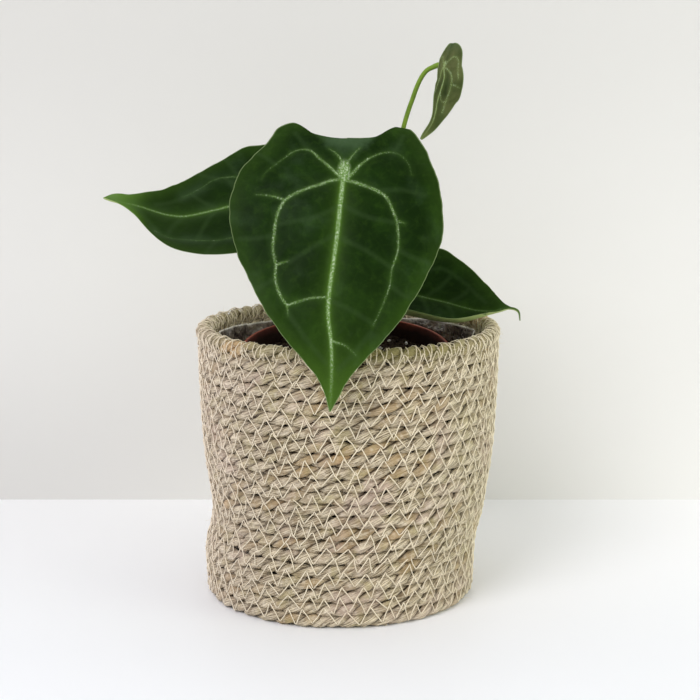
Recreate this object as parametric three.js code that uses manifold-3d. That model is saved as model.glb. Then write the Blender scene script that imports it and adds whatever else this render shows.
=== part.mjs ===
// A small house plant with four shield-shaped leaves, in its plastic nursery pot inside a film liner,
// standing in a basket coiled from jute rope. Millimetres, +Z up, the viewer's side is -Y.
// The origin is the centre of the basket's flat base, on the surface that it stands on.
import * as THREE from 'three';
import { mergeVertices } from 'three/addons/utils/BufferGeometryUtils.js';
import Module from 'manifold-3d';

const wasm = await Module();
wasm.setup();

// Basket
const basketHeight = 152;
const ropeRows = 22;
const ropeThickness = 7;
const ropeGroove = 1.7;
const basketColumns = 40;
// outer radius of the wall at heights above the base
const basketBelly = [[0, 75.2], [8, 75.6], [26, 76.4], [38, 75.7], [50, 76.5], [64, 78.3], [74, 80],
  [88, 81.5], [106, 82.5], [125, 83.2], [152, 83.8]];
// the soft wall leans to +X above its waist
const basketLean = 4.8;
const leanStart = 24;
const leanEnd = 52;
const baseEdge = 4;

// Gap between pieces that touch
const gap = 0.35;

// Liner film, its floor bunched up under the pot
const filmThickness = 0.8;
const linerHeight = 145;
const linerEdgeWave = 3;
const linerFold = 2.2;
const linerColumns = 44;
const linerClearance = 0.65;
const bunchSpread = 16;

// Nursery pot, tipped towards the viewer
const potHeight = 113;
const potRimRadius = 59;
const potBaseRadius = 43;
const potWall = 1.1;
const potBand = 11;
const potBandStep = 1.6;
const potFoot = 2;
const potColumns = 44;
const potTilt = THREE.MathUtils.degToRad(7.5);
const potRimCentre = new THREE.Vector3(3.2, 0, 139);
const drainHoles = 8;
const drainHoleRadius = 3.5;
const drainCircle = 31;

// Soil
const soilBelowRim = 12;
const soilLump = 0.9;
const soilColumns = 32;

// Rootstock
const crownRadius = 6.5;
const crownTop = 140;
const crownCentre = new THREE.Vector2(10, 6);
const rootCount = 8;
const rootRadius = 2;
const rootReach = 24;
const rootDepth = 42;

// Leaves
const bladeThickness = 0.9;
const jointGap = 0.4;
const petioleRadius = 1.9;
const youngPetioleRadius = 1.4;
const petioleSides = 8;
const rowsPerBlade = 24;
const frontRows = 28;
const cellsPerHalf = 5;

const spineJoint = 2;
const curlStart = 0.7;
const youngRows = 18;
const youngCells = 4;

// A leaf's spine runs from behind its back edge over the petiole joint, its third point, to the tip.
// face is the way that the upper surface looks. A margin's points are [distance along the spine from
// the joint, distance from the spine]. cup bends a half up across the leaf in radians per millimetre,
// fold tips it up at the spine in radians, curl lifts its edge and wave is [height, count] along it.
// Of each pair the first value is for the plus half.
const frontLeaf = {
  spine: [[4, -34, 266], [3.6, -43, 258], [2.6, -58, 242], [0.8, -74, 211.3], [-1, -87, 182.4],
    [-2.7, -97, 153.5], [-4.3, -105, 126]],
  face: [0, -1, 0.25],
  plus: [[-22, 0.9], [-23, 14], [-28, 25], [-31.5, 31], [-29.5, 36], [-21, 41], [-12, 48], [1, 55],
    [17, 58.5], [33, 57], [47, 52], [67, 41.5], [83, 31], [98, 17.5], [112, 5.5], [126, 0.3]],
  minus: [[-22, 0.9], [-23, 10], [-24.5, 17], [-30, 24], [-32.5, 29], [-32, 35], [-24, 40],
    [-12, 45.5], [6, 50.5], [24, 53], [39, 51], [51, 46], [61, 42], [74, 35], [89, 24.5],
    [101, 14], [112, 7], [126, 0.3]],
  cup: [-0.004, -0.004],
  fold: [0, 0],
  curl: [0, 0],
  wave: [1, 3],
};
const leftLeaf = {
  spine: [[3, 12.5, 232.5], [-6.6, 10, 229.7], [-26.5, 6, 225.6], [-60.6, 0, 218.4],
    [-88.9, -6, 213.5], [-111.6, -12, 220.2], [-128.3, -16, 224.4]],
  face: [0.1, -0.62, 0.78],
  plus: [[-20, 0.9], [-21, 9], [-25, 18], [-26, 25], [-19, 32], [-7, 36], [8, 38], [18, 38.5],
    [26, 36.5], [35, 33.5], [45, 30], [55, 26.5], [69, 21], [77, 16], [83, 13], [88, 10], [93, 8],
    [98, 7], [102, 5.5], [107, 0.3]],
  minus: [[-20, 0.9], [-21, 9], [-25, 18], [-26, 25], [-19, 32], [-5, 37], [15, 40], [30, 40],
    [41, 38.5], [50, 36.5], [62, 32.5], [70, 27], [79, 17], [85, 10.5], [92, 4.5], [98, 1.6],
    [107, 0.3]],
  cup: [0.004, 0.006],
  fold: [0, 0],
  curl: [0, 0],
  wave: [1, 3],
};
const rightLeaf = {
  spine: [[12, 15, 175], [20.4, 12, 173], [32.7, 8, 170.2], [45, 4, 167.4], [58.8, 0, 164.7],
    [75.3, -5, 160.4], [84.4, -9, 160], [92.9, -12, 162.2], [97.3, -13, 161.4], [99.9, -13, 156.2]],
  face: [-0.05, -0.68, 0.73],
  plus: [[-13, 0.9], [-14, 7], [-17, 13], [-18, 19], [-12, 24], [0, 26.5], [15, 26], [28, 23],
    [38, 18], [46, 12], [54, 6], [61, 3], [67, 1.2], [75.6, 0.3]],
  minus: [[-13, 0.9], [-14, 7], [-17, 14], [-18, 20], [-12, 27], [0, 30.5], [12, 32], [20, 32],
    [25, 29.5], [31, 26], [40, 20.5], [49, 14.5], [57, 8], [63, 3], [67, 1.2], [75.6, 0.3]],
  cup: [0.028, 0.012],
  fold: [0, 0],
  curl: [2.5, 0],
  wave: [0.5, 3],
};
const youngLeaf = {
  spine: [[61.2, 1.5, 309], [60.6, 2, 306.4], [57.1, 5, 295.1], [57.8, 6, 288.1], [56.3, 7, 281.6],
    [54.2, 8, 275], [50.5, 9, 264], [44.5, 10, 254]],
  face: [0.75, -0.62, 0.2],
  plus: [[-12, 0.9], [-13, 3], [-12, 7], [-8, 9.5], [0, 11], [7, 11], [14, 10], [23, 7], [30, 4.5],
    [37, 2.3], [44, 0.3]],
  minus: [[-12, 0.9], [-13.5, 3], [-13, 6], [-10, 9], [-4, 11], [5, 11.5], [12, 11], [17, 10],
    [24, 8], [31, 5.5], [37, 3], [44, 0.3]],
  cup: [0.02, 0.02],
  fold: [0.38, 0.2],
  curl: [0, 0],
  wave: [0.2, 3],
};

const petioles = {
  front: [[8, 1, 133], [6, -4, 148], [3, -17, 180], [1, -31, 214], [1.5, -44, 234], [2.3, -52.5, 239.5]],
  left: [[4.5, 7, 133], [1, 8.5, 148], [-9, 13, 182], [-19, 15, 208], [-25.5, 12, 219]],
  right: [[15.5, 7, 133], [20, 9, 147], [27, 14, 158], [32, 13.5, 164.5]],
  young: [[11, 11, 133], [12.5, 14, 152], [23, 20, 205], [36.7, 14, 258], [40.7, 13, 273],
    [44.7, 12, 285], [48.5, 10.5, 291.5], [52, 9.3, 294.6]],
};

function vector(point) {
  return new THREE.Vector3(...point);
}

// A value that passes through a short list of [place, value] pairs
function along(pairs, place) {
  const last = pairs.length - 1;
  if (place <= pairs[0][0]) return pairs[0][1];
  if (place >= pairs[last][0]) return pairs[last][1];
  const i = pairs.findIndex((pair) => pair[0] > place);
  return THREE.MathUtils.mapLinear(place, pairs[i - 1][0], pairs[i][0], pairs[i - 1][1], pairs[i][1]);
}

function positionsOnly(geometry) {
  geometry.deleteAttribute('normal');
  geometry.deleteAttribute('uv');
  return mergeVertices(geometry, 1e-4);
}

function toSolid(geometry) {
  const merged = positionsOnly(geometry);
  const vertProperties = new Float32Array(merged.attributes.position.array);
  const triVerts = new Uint32Array(merged.index.array);
  return new wasm.Manifold(new wasm.Mesh({ numProp: 3, vertProperties, triVerts }));
}

function toGeometry(solid) {
  const mesh = solid.getMesh();
  const geometry = new THREE.BufferGeometry();
  geometry.setAttribute('position', new THREE.BufferAttribute(mesh.vertProperties, 3));
  geometry.setIndex(new THREE.BufferAttribute(mesh.triVerts, 1));
  return geometry;
}

// A turned shape about +Z from a profile of [radius, height] that starts and ends on the axis
function turned(profile, columns) {
  const points = profile.map(([radius, height]) => new THREE.Vector2(radius, height));
  const geometry = new THREE.LatheGeometry(points, columns);
  geometry.rotateX(Math.PI / 2);
  return geometry;
}

function reshape(geometry, move) {
  const position = geometry.attributes.position;
  const point = new THREE.Vector3();
  for (let i = 0; i < position.count; i += 1) {
    point.fromBufferAttribute(position, i);
    move(point);
    position.setXYZ(i, point.x, point.y, point.z);
  }
  return geometry;
}

// A round bar along a smooth curve through points
function bar(points, radius, sides, steps) {
  const section = new THREE.Shape();
  for (let i = 0; i < sides; i += 1) {
    const angle = (i / sides) * 2 * Math.PI;
    if (i === 0) section.moveTo(radius, 0);
    else section.lineTo(radius * Math.cos(angle), radius * Math.sin(angle));
  }
  const path = new THREE.CatmullRomCurve3(points);
  return new THREE.ExtrudeGeometry(section, { steps, bevelEnabled: false, extrudePath: path });
}

function leanAt(height) {
  return basketLean * THREE.MathUtils.smoothstep(height, leanStart, leanEnd);
}

function leaned(geometry) {
  return reshape(geometry, (point) => {
    point.x += leanAt(point.z);
  });
}

function basketGeometry() {
  const pitch = basketHeight / ropeRows;
  const profile = [[0, 0], [along(basketBelly, 0) - baseEdge, 0]];
  for (let row = 0; row < ropeRows; row += 1) {
    const middle = (row + 0.5) * pitch;
    profile.push([along(basketBelly, middle), middle]);
    if (row < ropeRows - 1) {
      profile.push([along(basketBelly, middle + pitch / 2) - ropeGroove, middle + pitch / 2]);
    }
  }
  profile.push([along(basketBelly, basketHeight) - ropeThickness / 2, basketHeight]);
  for (const height of [basketHeight - ropeThickness / 2, 120, 88, 64, 50, 36, 22, ropeThickness + 4]) {
    profile.push([along(basketBelly, height) - ropeThickness, height]);
  }
  profile.push([along(basketBelly, 0) - ropeThickness - 4, ropeThickness]);
  profile.push([0, ropeThickness]);
  return leaned(turned(profile, basketColumns));
}

function potBaseCentre() {
  const drop = new THREE.Vector3(0, Math.sin(potTilt), -Math.cos(potTilt)).multiplyScalar(potHeight);
  return potRimCentre.clone().add(drop);
}

// Height of the plane that the tipped pot stands on
function potSeatHeight(y) {
  const centre = potBaseCentre();
  return centre.z + (y - centre.y) * Math.tan(potTilt);
}

function linerGeometry() {
  const floor = ropeThickness + gap;
  const wallAt = (height) => along(basketBelly, height) - ropeThickness - linerClearance;
  const heights = [18, 34, 52, 74, 98, 120, 134, linerHeight];
  const profile = [[0, floor], [30, floor], [58, floor], [wallAt(0) - 4.5, floor + 0.6]];
  for (const height of heights) profile.push([wallAt(height), height]);
  for (const height of [...heights].reverse()) profile.push([wallAt(height) - filmThickness, height]);
  const inner = floor + filmThickness;
  profile.push([wallAt(0) - 6, inner + 1.5]);
  for (const radius of [58, 50, 40, 28, 14, 0]) profile.push([radius, inner]);
  const seat = potBaseCentre();
  const geometry = turned(profile, linerColumns);
  return leaned(reshape(geometry, (point) => {
    const angle = Math.atan2(point.y, point.x);
    const rise = THREE.MathUtils.smoothstep(point.z, 30, linerHeight);
    const ripple = 0.5 - 0.5 * Math.sin(7 * angle + 2 * Math.sin(2 * angle) + point.z / 30);
    const shrink = 1 - (linerFold * rise * ripple) / wallAt(linerHeight);
    point.x *= shrink;
    point.y *= shrink;
    point.z += linerEdgeWave * rise * Math.sin(2 * angle + 4.2) * Math.cos(3 * angle);
    if (Math.abs(point.z - inner) < 1e-3) {
      const away = Math.hypot(point.x - seat.x, point.y - seat.y);
      const under = 1 - THREE.MathUtils.smoothstep(away, potBaseRadius + 1, potBaseRadius + bunchSpread);
      const top = potSeatHeight(point.y) - gap;
      point.z = THREE.MathUtils.lerp(inner, top, under);
    }
  }));
}

function potProfile() {
  const bandFoot = potHeight - potBand;
  const radiusAt = (height) => along([[0, potBaseRadius], [potHeight, potRimRadius - potBandStep]], height);
  return [[0, potFoot], [potBaseRadius - 5, potFoot], [potBaseRadius - 4, 0], [potBaseRadius, 0],
    [radiusAt(bandFoot), bandFoot], [radiusAt(bandFoot) + potBandStep, bandFoot],
    [potRimRadius, potHeight - 0.6], [potRimRadius - 0.6, potHeight],
    [potRimRadius - potBandStep - potWall + 0.4, potHeight],
    [radiusAt(bandFoot) - potWall, bandFoot],
    [potBaseRadius - potWall + 0.6, potFoot + potWall + 1], [potBaseRadius - 3, potFoot + potWall],
    [0, potFoot + potWall]];
}

function potGeometry() {
  let pot = toSolid(turned(potProfile(), potColumns));
  for (let i = 0; i < drainHoles; i += 1) {
    const angle = ((i + 0.5) / drainHoles) * 2 * Math.PI;
    const hole = new THREE.CylinderGeometry(drainHoleRadius, drainHoleRadius, 12, 12);
    hole.rotateX(Math.PI / 2);
    hole.translate(drainCircle * Math.cos(angle), drainCircle * Math.sin(angle), potFoot);
    pot = pot.subtract(toSolid(hole));
  }
  return toGeometry(pot);
}

// The pot's own frame: its axis tipped, its base centre where the liner carries it
function inPot(object) {
  object.position.copy(potBaseCentre());
  object.rotation.set(potTilt, 0, 0);
  return object;
}

function rootstockSolid(grow) {
  const centre = crownCentre;
  const radius = crownRadius + grow;
  const crown = turned([[0, crownTop - 45 - grow], [radius * 0.55, crownTop - 43],
    [radius * 0.9, crownTop - 33], [radius, crownTop - 15], [radius * 0.92, crownTop - 6],
    [radius * 0.6, crownTop - 1.4 + grow], [0, crownTop + grow]], 14);
  crown.translate(centre.x, centre.y, 0);
  let solid = toSolid(crown);
  for (let i = 0; i < rootCount; i += 1) {
    const angle = ((i + 0.3 * (i % 3)) / rootCount) * 2 * Math.PI;
    const reach = rootReach + 4 * (i % 3);
    const depth = rootDepth + 9 * ((i * 2) % 3);
    const spread = (share, drop) => new THREE.Vector3(
      THREE.MathUtils.lerp(centre.x, potRimCentre.x, share) + reach * share * Math.cos(angle + share * 0.5),
      THREE.MathUtils.lerp(centre.y, 10, share) + reach * share * Math.sin(angle + share * 0.5),
      crownTop - 29 - drop,
    );
    const route = [spread(0, 0), spread(0.45, 5), spread(0.85, depth * 0.4), spread(1, depth)];
    solid = solid.add(toSolid(bar(route, rootRadius + grow, 6, 8)));
  }
  return solid;
}

function soilSolid() {
  const inside = (height) => along([[0, potBaseRadius], [potHeight, potRimRadius - potBandStep]], height)
    - potWall - gap - 0.25;
  const top = potHeight - soilBelowRim;
  const low = potFoot + potWall + gap;
  const profile = [[0, low], [potBaseRadius - 4, low], [inside(low + 2), low + 2],
    [inside(top) - 0.6, top - 1]];
  for (const share of [0.9, 0.75, 0.58, 0.4, 0.22]) profile.push([inside(top) * share, top]);
  profile.push([0, top]);
  const geometry = reshape(turned(profile, soilColumns), (point) => {
    if (point.z > top - 0.5) {
      const small = Math.sin(point.x / 5.3 + 1) * Math.cos(point.y / 4.7);
      const broad = Math.sin(point.y / 7.9 - point.x / 9);
      point.z += soilLump * (small + broad) - 0.5;
    }
  });
  const holder = inPot(new THREE.Object3D());
  holder.updateMatrixWorld();
  geometry.applyMatrix4(holder.matrixWorld);
  return toSolid(geometry);
}

// Points of a margin at equal shares of its length, as [along the spine, away from it]
function marginCurve(points) {
  return new THREE.CatmullRomCurve3(points.map(([u, v]) => new THREE.Vector3(u, v, 0)), false, 'centripetal');
}

// The leaf's upper surface at a distance along the spine and a signed distance from it
function leafSurface(leaf) {
  const spine = new THREE.CatmullRomCurve3(leaf.spine.map(vector), false, 'centripetal');
  const length = spine.getLength();
  let before = 0;
  const shares = 400;
  const joint = vector(leaf.spine[spineJoint]);
  let nearest = Infinity;
  for (let i = 0; i <= shares; i += 1) {
    const away = spine.getPointAt(i / shares).distanceTo(joint);
    if (away < nearest) {
      nearest = away;
      before = (length * i) / shares;
    }
  }
  return (u, v, edge, row) => {
    const share = THREE.MathUtils.clamp((u + before) / length, 0, 1);
    const point = spine.getPointAt(share);
    const tangent = spine.getTangentAt(share);
    const normal = vector(leaf.face);
    normal.addScaledVector(tangent, -normal.dot(tangent)).normalize();
    const across = tangent.clone().cross(normal);
    const side = v >= 0 ? 0 : 1;
    const distance = Math.abs(v);
    const bend = leaf.cup[side] || 1e-6;
    const angle = leaf.fold[side] + bend * distance;
    const out = (Math.sin(angle) - Math.sin(leaf.fold[side])) / bend;
    let rise = (Math.cos(leaf.fold[side]) - Math.cos(angle)) / bend;
    rise += leaf.curl[side] * (Math.max(0, edge - curlStart) / (1 - curlStart)) ** 2;
    rise += leaf.wave[0] * edge * edge * Math.sin(2 * Math.PI * leaf.wave[1] * row + side);
    point.addScaledVector(across, Math.sign(v) * out).addScaledVector(normal, rise);
    return { point, normal };
  };
}

// A closed blade: the upper face, the same net lowered by the thickness, and the edge between them
function bladeGeometry(leaf, rows = rowsPerBlade, cells = cellsPerHalf) {
  const surface = leafSurface(leaf);
  const plus = marginCurve(leaf.plus);
  const minus = marginCurve(leaf.minus);
  const first = leaf.plus[0][0];
  const last = leaf.plus[leaf.plus.length - 1][0];
  const columns = 2 * cells + 1;
  const upper = [];
  const lower = [];
  for (let i = 0; i <= rows; i += 1) {
    const row = i / rows;
    const centre = THREE.MathUtils.lerp(first, last, row);
    for (let j = -cells; j <= cells; j += 1) {
      const edge = Math.abs(j) / cells;
      const margin = (j >= 0 ? plus : minus).getPointAt(row);
      const u = THREE.MathUtils.lerp(centre, margin.x, edge);
      const v = Math.sign(j) * margin.y * edge;
      const { point, normal } = surface(u, v, edge, row);
      upper.push(...point.toArray());
      lower.push(...point.addScaledVector(normal, -bladeThickness).toArray());
    }
  }
  const index = [];
  const below = (rows + 1) * columns;
  const quad = (a, b, c, d) => index.push(a, c, b, a, d, c);
  for (let i = 0; i < rows; i += 1) {
    for (let j = 0; j < columns - 1; j += 1) {
      const a = i * columns + j;
      const b = a + columns;
      index.push(a, b + 1, b, a, a + 1, b + 1);
      index.push(below + a, below + b, below + b + 1, below + a, below + b + 1, below + a + 1);
    }
    const left = i * columns;
    const right = left + columns - 1;
    quad(left, below + left, below + left + columns, left + columns);
    quad(right, right + columns, below + right + columns, below + right);
  }
  for (let j = 0; j < columns - 1; j += 1) {
    const end = rows * columns + j;
    quad(j, j + 1, below + j + 1, below + j);
    quad(end, below + end, below + end + 1, end + 1);
  }
  const geometry = new THREE.BufferGeometry();
  geometry.setAttribute('position', new THREE.Float32BufferAttribute([...upper, ...lower], 3));
  geometry.setIndex(index);
  return geometry;
}

const grownRootstock = rootstockSolid(gap);

// A petiole's last stretch meets the blade's underside square on
function petioleGeometry(route, leaf, radius, steps) {
  const { point, normal } = leafSurface(leaf)(0, 0, 0, 0);
  const end = point.clone().addScaledVector(normal, -bladeThickness - jointGap);
  const before = end.clone().addScaledVector(normal, -1.5 * radius);
  const points = [...route.map(vector), before, end];
  return toGeometry(toSolid(bar(points, radius, petioleSides, steps)).subtract(grownRootstock));
}

const group = new THREE.Group();

function add(name, geometry, colour, roughness) {
  const material = new THREE.MeshStandardMaterial({ color: colour, roughness, metalness: 0 });
  const mesh = new THREE.Mesh(geometry, material);
  mesh.name = name;
  group.add(mesh);
  return mesh;
}

add('basket', basketGeometry(), 0xb09c7c, 0.95);
add('liner', linerGeometry(), 0x55524e, 0.5);
inPot(add('nursery_pot', potGeometry(), 0x8a4a3c, 0.55));
add('soil', toGeometry(soilSolid().subtract(grownRootstock)), 0x1e150e, 1);
add('rootstock', toGeometry(rootstockSolid(0)), 0x8c7a52, 0.8);

add('petiole_front', petioleGeometry(petioles.front, frontLeaf, petioleRadius, 22), 0x64803a, 0.5);
add('petiole_left', petioleGeometry(petioles.left, leftLeaf, petioleRadius, 18), 0x64803a, 0.5);
add('petiole_right', petioleGeometry(petioles.right, rightLeaf, petioleRadius, 12), 0x64803a, 0.5);
add('petiole_young', petioleGeometry(petioles.young, youngLeaf, youngPetioleRadius, 30), 0x7a9a34, 0.5);

add('blade_front', bladeGeometry(frontLeaf, frontRows), 0x1e3414, 0.6);
add('blade_left', bladeGeometry(leftLeaf), 0x1e3414, 0.6);
add('blade_right', bladeGeometry(rightLeaf), 0x1e3414, 0.6);
add('blade_young', bladeGeometry(youngLeaf, youngRows, youngCells), 0x4a5028, 0.6);

export default group;
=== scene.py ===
import math

import bmesh
import bpy
import numpy as np
from mathutils import Matrix, Vector, noise


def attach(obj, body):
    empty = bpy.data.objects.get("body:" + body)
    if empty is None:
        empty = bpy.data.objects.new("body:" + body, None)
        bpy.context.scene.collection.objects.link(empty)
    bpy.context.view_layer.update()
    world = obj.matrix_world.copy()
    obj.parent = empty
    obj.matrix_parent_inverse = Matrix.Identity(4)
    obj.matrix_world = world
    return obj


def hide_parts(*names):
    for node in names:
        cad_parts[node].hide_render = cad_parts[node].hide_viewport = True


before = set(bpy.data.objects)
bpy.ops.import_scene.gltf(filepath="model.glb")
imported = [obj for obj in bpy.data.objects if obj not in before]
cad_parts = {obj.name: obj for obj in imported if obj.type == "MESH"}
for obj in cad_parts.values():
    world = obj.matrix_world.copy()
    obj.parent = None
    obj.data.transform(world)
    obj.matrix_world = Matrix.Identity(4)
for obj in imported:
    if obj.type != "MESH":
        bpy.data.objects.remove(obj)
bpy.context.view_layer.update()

# The place for the photograph: a white table top against a pale wall, soft daylight from the left
# and in front, and a camera that looks a little down on the plant. The wall shows only from the
# front, so that the plant can be looked at from behind.
MM = 0.001
TABLE_DEPTH = 0.174
TABLE_NEAR, TABLE_FAR = (0.89, 0.915, 0.955), (0.965, 0.975, 0.99)
WALL_DIM, WALL_LIT = (0.635, 0.63, 0.605), (0.862, 0.862, 0.838)
SKY_STRENGTH = 0.605
PLANT_MIDDLE = Vector((0, 0, 0.12))

camera_data = bpy.data.cameras.new("camera")
camera_data.lens = 84.5
camera_data.sensor_width = 36
camera = bpy.data.objects.new("camera", camera_data)
camera.location = (0.0057, -0.907, 0.312)
camera.rotation_euler = (math.radians(79.1), 0, 0)
bpy.context.scene.collection.objects.link(camera)
bpy.context.scene.camera = camera
bpy.context.scene.view_settings.view_transform = "Standard"

for name, place, width, power, colour in (
    ("window", (-0.8, -1.3, 1.5), 1.1, 20.3, (0.985, 0.95, 1.0)),
    ("room", (1.9, -0.95, 0.8), 1.5, 14.4, (0.985, 1.0, 0.83)),
):
    light = bpy.data.lights.new(name, "AREA")
    light.shape = "DISK"
    light.size = width
    light.energy = power
    light.color = colour
    lamp = bpy.data.objects.new(name, light)
    lamp.location = place
    lamp.rotation_euler = (PLANT_MIDDLE - Vector(place)).to_track_quat("-Z", "Y").to_euler()
    bpy.context.scene.collection.objects.link(lamp)

sky = bpy.data.worlds.new("sky")
bpy.context.scene.world = sky
sky.use_nodes = True
sky.node_tree.nodes["Background"].inputs["Color"].default_value = (1.0, 1.0, 1.0, 1)
sky.node_tree.nodes["Background"].inputs["Strength"].default_value = SKY_STRENGTH


class Nodes:
    """The shader nodes of one material or node group, added by short calls."""

    def __init__(self, tree):
        self.tree = tree

    def put(self, value, socket):
        """Gives an input a link, a colour or a number."""
        if isinstance(value, bpy.types.NodeSocket):
            self.tree.links.new(value, socket)
        else:
            socket.default_value = (*value, 1) if socket.type == "RGBA" else value

    def add(self, kind, inputs=(), **settings):
        made = self.tree.nodes.new("ShaderNode" + kind)
        for name, value in settings.items():
            setattr(made, name, value)
        for socket, value in dict(inputs).items():
            self.put(value, made.inputs[socket])
        return made

    def maths(self, operation, *values):
        return self.add("Math", enumerate(values), operation=operation).outputs[0]

    def plus(self, first, second):
        return self.maths("ADD", first, second)

    def times(self, first, second):
        return self.maths("MULTIPLY", first, second)

    def scaled(self, value, factor, offset):
        return self.maths("MULTIPLY_ADD", value, factor, offset)

    def ramp(self, value, low, high, start=0.0, end=1.0):
        """A smooth step from start to end while the value goes from low to high."""
        span = {"Value": value, "From Min": low, "From Max": high, "To Min": start, "To Max": end}
        return self.add("MapRange", span, interpolation_type="SMOOTHSTEP").outputs[0]

    def mix(self, share, first, second):
        return self.add("Mix", {0: share, 6: first, 7: second}, data_type="RGBA").outputs[2]

    def over(self, colour, other, *step):
        """The other colour laid over the first, as much as a ramp of the values in step says."""
        return self.mix(self.ramp(*step), colour, other)

    def noise(self, vector, scale, detail=3.0, roughness=0.5):
        return self.add("TexNoise", {"Vector": vector, "Scale": scale, "Detail": detail,
                                     "Roughness": roughness}).outputs["Fac"]

    def place(self, kind="Object"):
        return self.add("TexCoord").outputs[kind]

    def split(self, vector):
        return self.add("SeparateXYZ", {0: vector}).outputs

    def layer(self, name):
        """A value that the mesh holds for each of its points."""
        return self.add("Attribute", attribute_name=name).outputs["Fac"]


def new_material(name, constants):
    """A material with its nodes and its shader, whose constants are set on its own sockets."""
    made = bpy.data.materials.new(name)
    made.use_nodes = True
    shader = made.node_tree.nodes["Principled BSDF"]
    for socket, value in constants.items():
        shader.inputs[socket].default_value = value
    return made, Nodes(made.node_tree), shader


table_white, nodes, shader = new_material("table_white", {"Roughness": 0.5})
# Painted light: the table is painted lighter towards the wall and bluer at the front.
back = nodes.ramp(nodes.split(nodes.place())[1], -0.15, TABLE_DEPTH)
nodes.put(nodes.mix(back, TABLE_NEAR, TABLE_FAR), shader.inputs["Base Color"])

wall_paint, nodes, shader = new_material("wall_paint", {"Roughness": 0.9})
# Painted light and shade: the wall is painted lighter to the right and just above the table,
# darker higher up and low at the left.
aside, _, high = nodes.split(nodes.place())
slant = nodes.ramp(high, 0.0, 0.13, 1.5, 0.5)
glow = nodes.scaled(aside, slant, nodes.ramp(high, 0.12, 0.36, 0.66, 0.16))
nodes.put(nodes.mix(glow, WALL_DIM, WALL_LIT), shader.inputs["Base Color"])
from_behind = nodes.add("NewGeometry").outputs["Backfacing"]
see_through = nodes.add("BsdfTransparent").outputs[0]
one_sided = nodes.add("MixShader", {0: from_behind, 1: shader.outputs[0], 2: see_through})
nodes.put(one_sided.outputs[0], nodes.tree.nodes["Material Output"].inputs["Surface"])

for name, material, turn, place in (
    ("table", table_white, 0, (0, 0, 0)),
    ("wall", wall_paint, math.pi / 2, (0, TABLE_DEPTH, 2)),
):
    bm = bmesh.new()
    bmesh.ops.create_grid(bm, x_segments=1, y_segments=1, size=2)
    bmesh.ops.rotate(bm, verts=bm.verts, matrix=Matrix.Rotation(turn, 3, "X"))
    bmesh.ops.translate(bm, verts=bm.verts, vec=place)
    mesh = bpy.data.meshes.new(name)
    bm.to_mesh(mesh)
    bm.free()
    mesh.materials.append(material)
    stage_piece = bpy.data.objects.new(name, mesh)
    bpy.context.scene.collection.objects.link(stage_piece)


# Basket: one long jute rope of two twisted strands, coiled flat for the base and then up the wall
# in 22 rows. Each turn runs level and steps to the next one at the back, and the end tapers off.
# Sizes are in millimetres, and a place along the rope is given in turns from the base's middle.
ROPE = 7.0
ROW_PITCH = 152 / 22
BASE_TURNS = 10
BASE_MIDDLE = 3.7
ROPE_END = 31.9
STEP_FROM = 0.86
LAY = 21.5
STRAND = 2.25
STRAND_OFFSET = 1.6
STRAND_FLAT = 1.16
STRAND_SIDES = 10
FIBRE_ROUGHNESS = 0.16
LOBES_PER_TURN = 46.2
RING_STEP = 2.0
BELLY = np.array([(0, 75.2), (8, 75.6), (26, 76.4), (38, 75.7), (50, 76.5), (64, 78.3), (74, 80),
                  (88, 81.5), (106, 82.5), (125, 83.2), (152, 83.8)])
LEAN = 4.8
LEAN_FROM, LEAN_TO = 24, 52
SWELL = 0.16
SWELL_EASES = (31.28, 31.42)
GOLDEN_PLACES = ((31.366, 0.028), (31.8, 0.035))
PRESSED_FROM, PRESSED_GIVE = 2.8, 0.9

JUTE_DARK, JUTE_LIGHT, JUTE_TAN = (0.14, 0.09, 0.04), (0.95, 0.83, 0.6), (0.48, 0.335, 0.16)
PATCHES = ((42, 0.7, (0.66, 0.51, 0.42)), (105, 0.5, (0.5, 0.43, 0.19)),
           (150, 0.45, (0.3, 0.2, 0.1)), (320, 0.4, (0.98, 0.88, 0.7)))
PAINTED_SHADE_BETWEEN_STRANDS = (0.062, 0.032, 0.008)
PAINTED_LIGHT_LEFT, PAINTED_LIGHT_RIGHT = (0.95, 0.8, 0.72), (0.93, 0.88, 0.64)
DARK_TOP_ROW = (0.28, 0.245, 0.09)
GOLDEN = (0.7, 0.48, 0.26)


def smooth(value, low, high):
    share = np.clip((value - low) / (high - low), 0, 1)
    return share * share * (3 - 2 * share)


def wobble(place, length, key):
    """A smooth irregular value from about -1 to 1, with bumps about a length apart."""
    draw = np.random.default_rng(key)
    total = 0
    for share in (1.0, 0.63, 0.41):
        total = total + share * np.sin(math.tau * place / (length * share) + draw.uniform(0, 6))
    return total / 1.5


def lean(height):
    return LEAN * smooth(height, LEAN_FROM, LEAN_TO)


def taper(turn):
    """Thickness of the rope as a share of its full one: the last 5 cm taper off."""
    return 1 - 0.75 * smooth(turn, ROPE_END - 0.1, ROPE_END)


def rope_line(turn, out=0.0, up=0.0):
    """Where the rope runs after a number of turns, moved away from the axis and up."""
    ring = np.floor(turn)
    ring = ring + smooth(turn - ring, STEP_FROM, 1.0)
    sunk = ROPE / 2 * (1 - taper(turn))
    height = BASE_MIDDLE + ROW_PITCH * np.maximum(ring - BASE_TURNS, 0) - sunk + up
    radius = np.interp(height, BELLY[:, 0], BELLY[:, 1]) - ROPE / 2
    radius = radius - ROPE * np.maximum(BASE_TURNS - ring, 0) + out
    angle = math.tau * turn + math.pi / 2
    return np.stack([radius * np.cos(angle) + lean(height), radius * np.sin(angle), height], -1)


def outward_at(turn, tilt=0.0):
    """The direction away from the basket's axis at a turn of the rope, tilted up by an angle."""
    angle = math.tau * turn + math.pi / 2
    level = np.cos(tilt)
    return np.stack([np.cos(angle) * level, np.sin(angle) * level, np.sin(tilt) + 0 * angle], -1)


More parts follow.
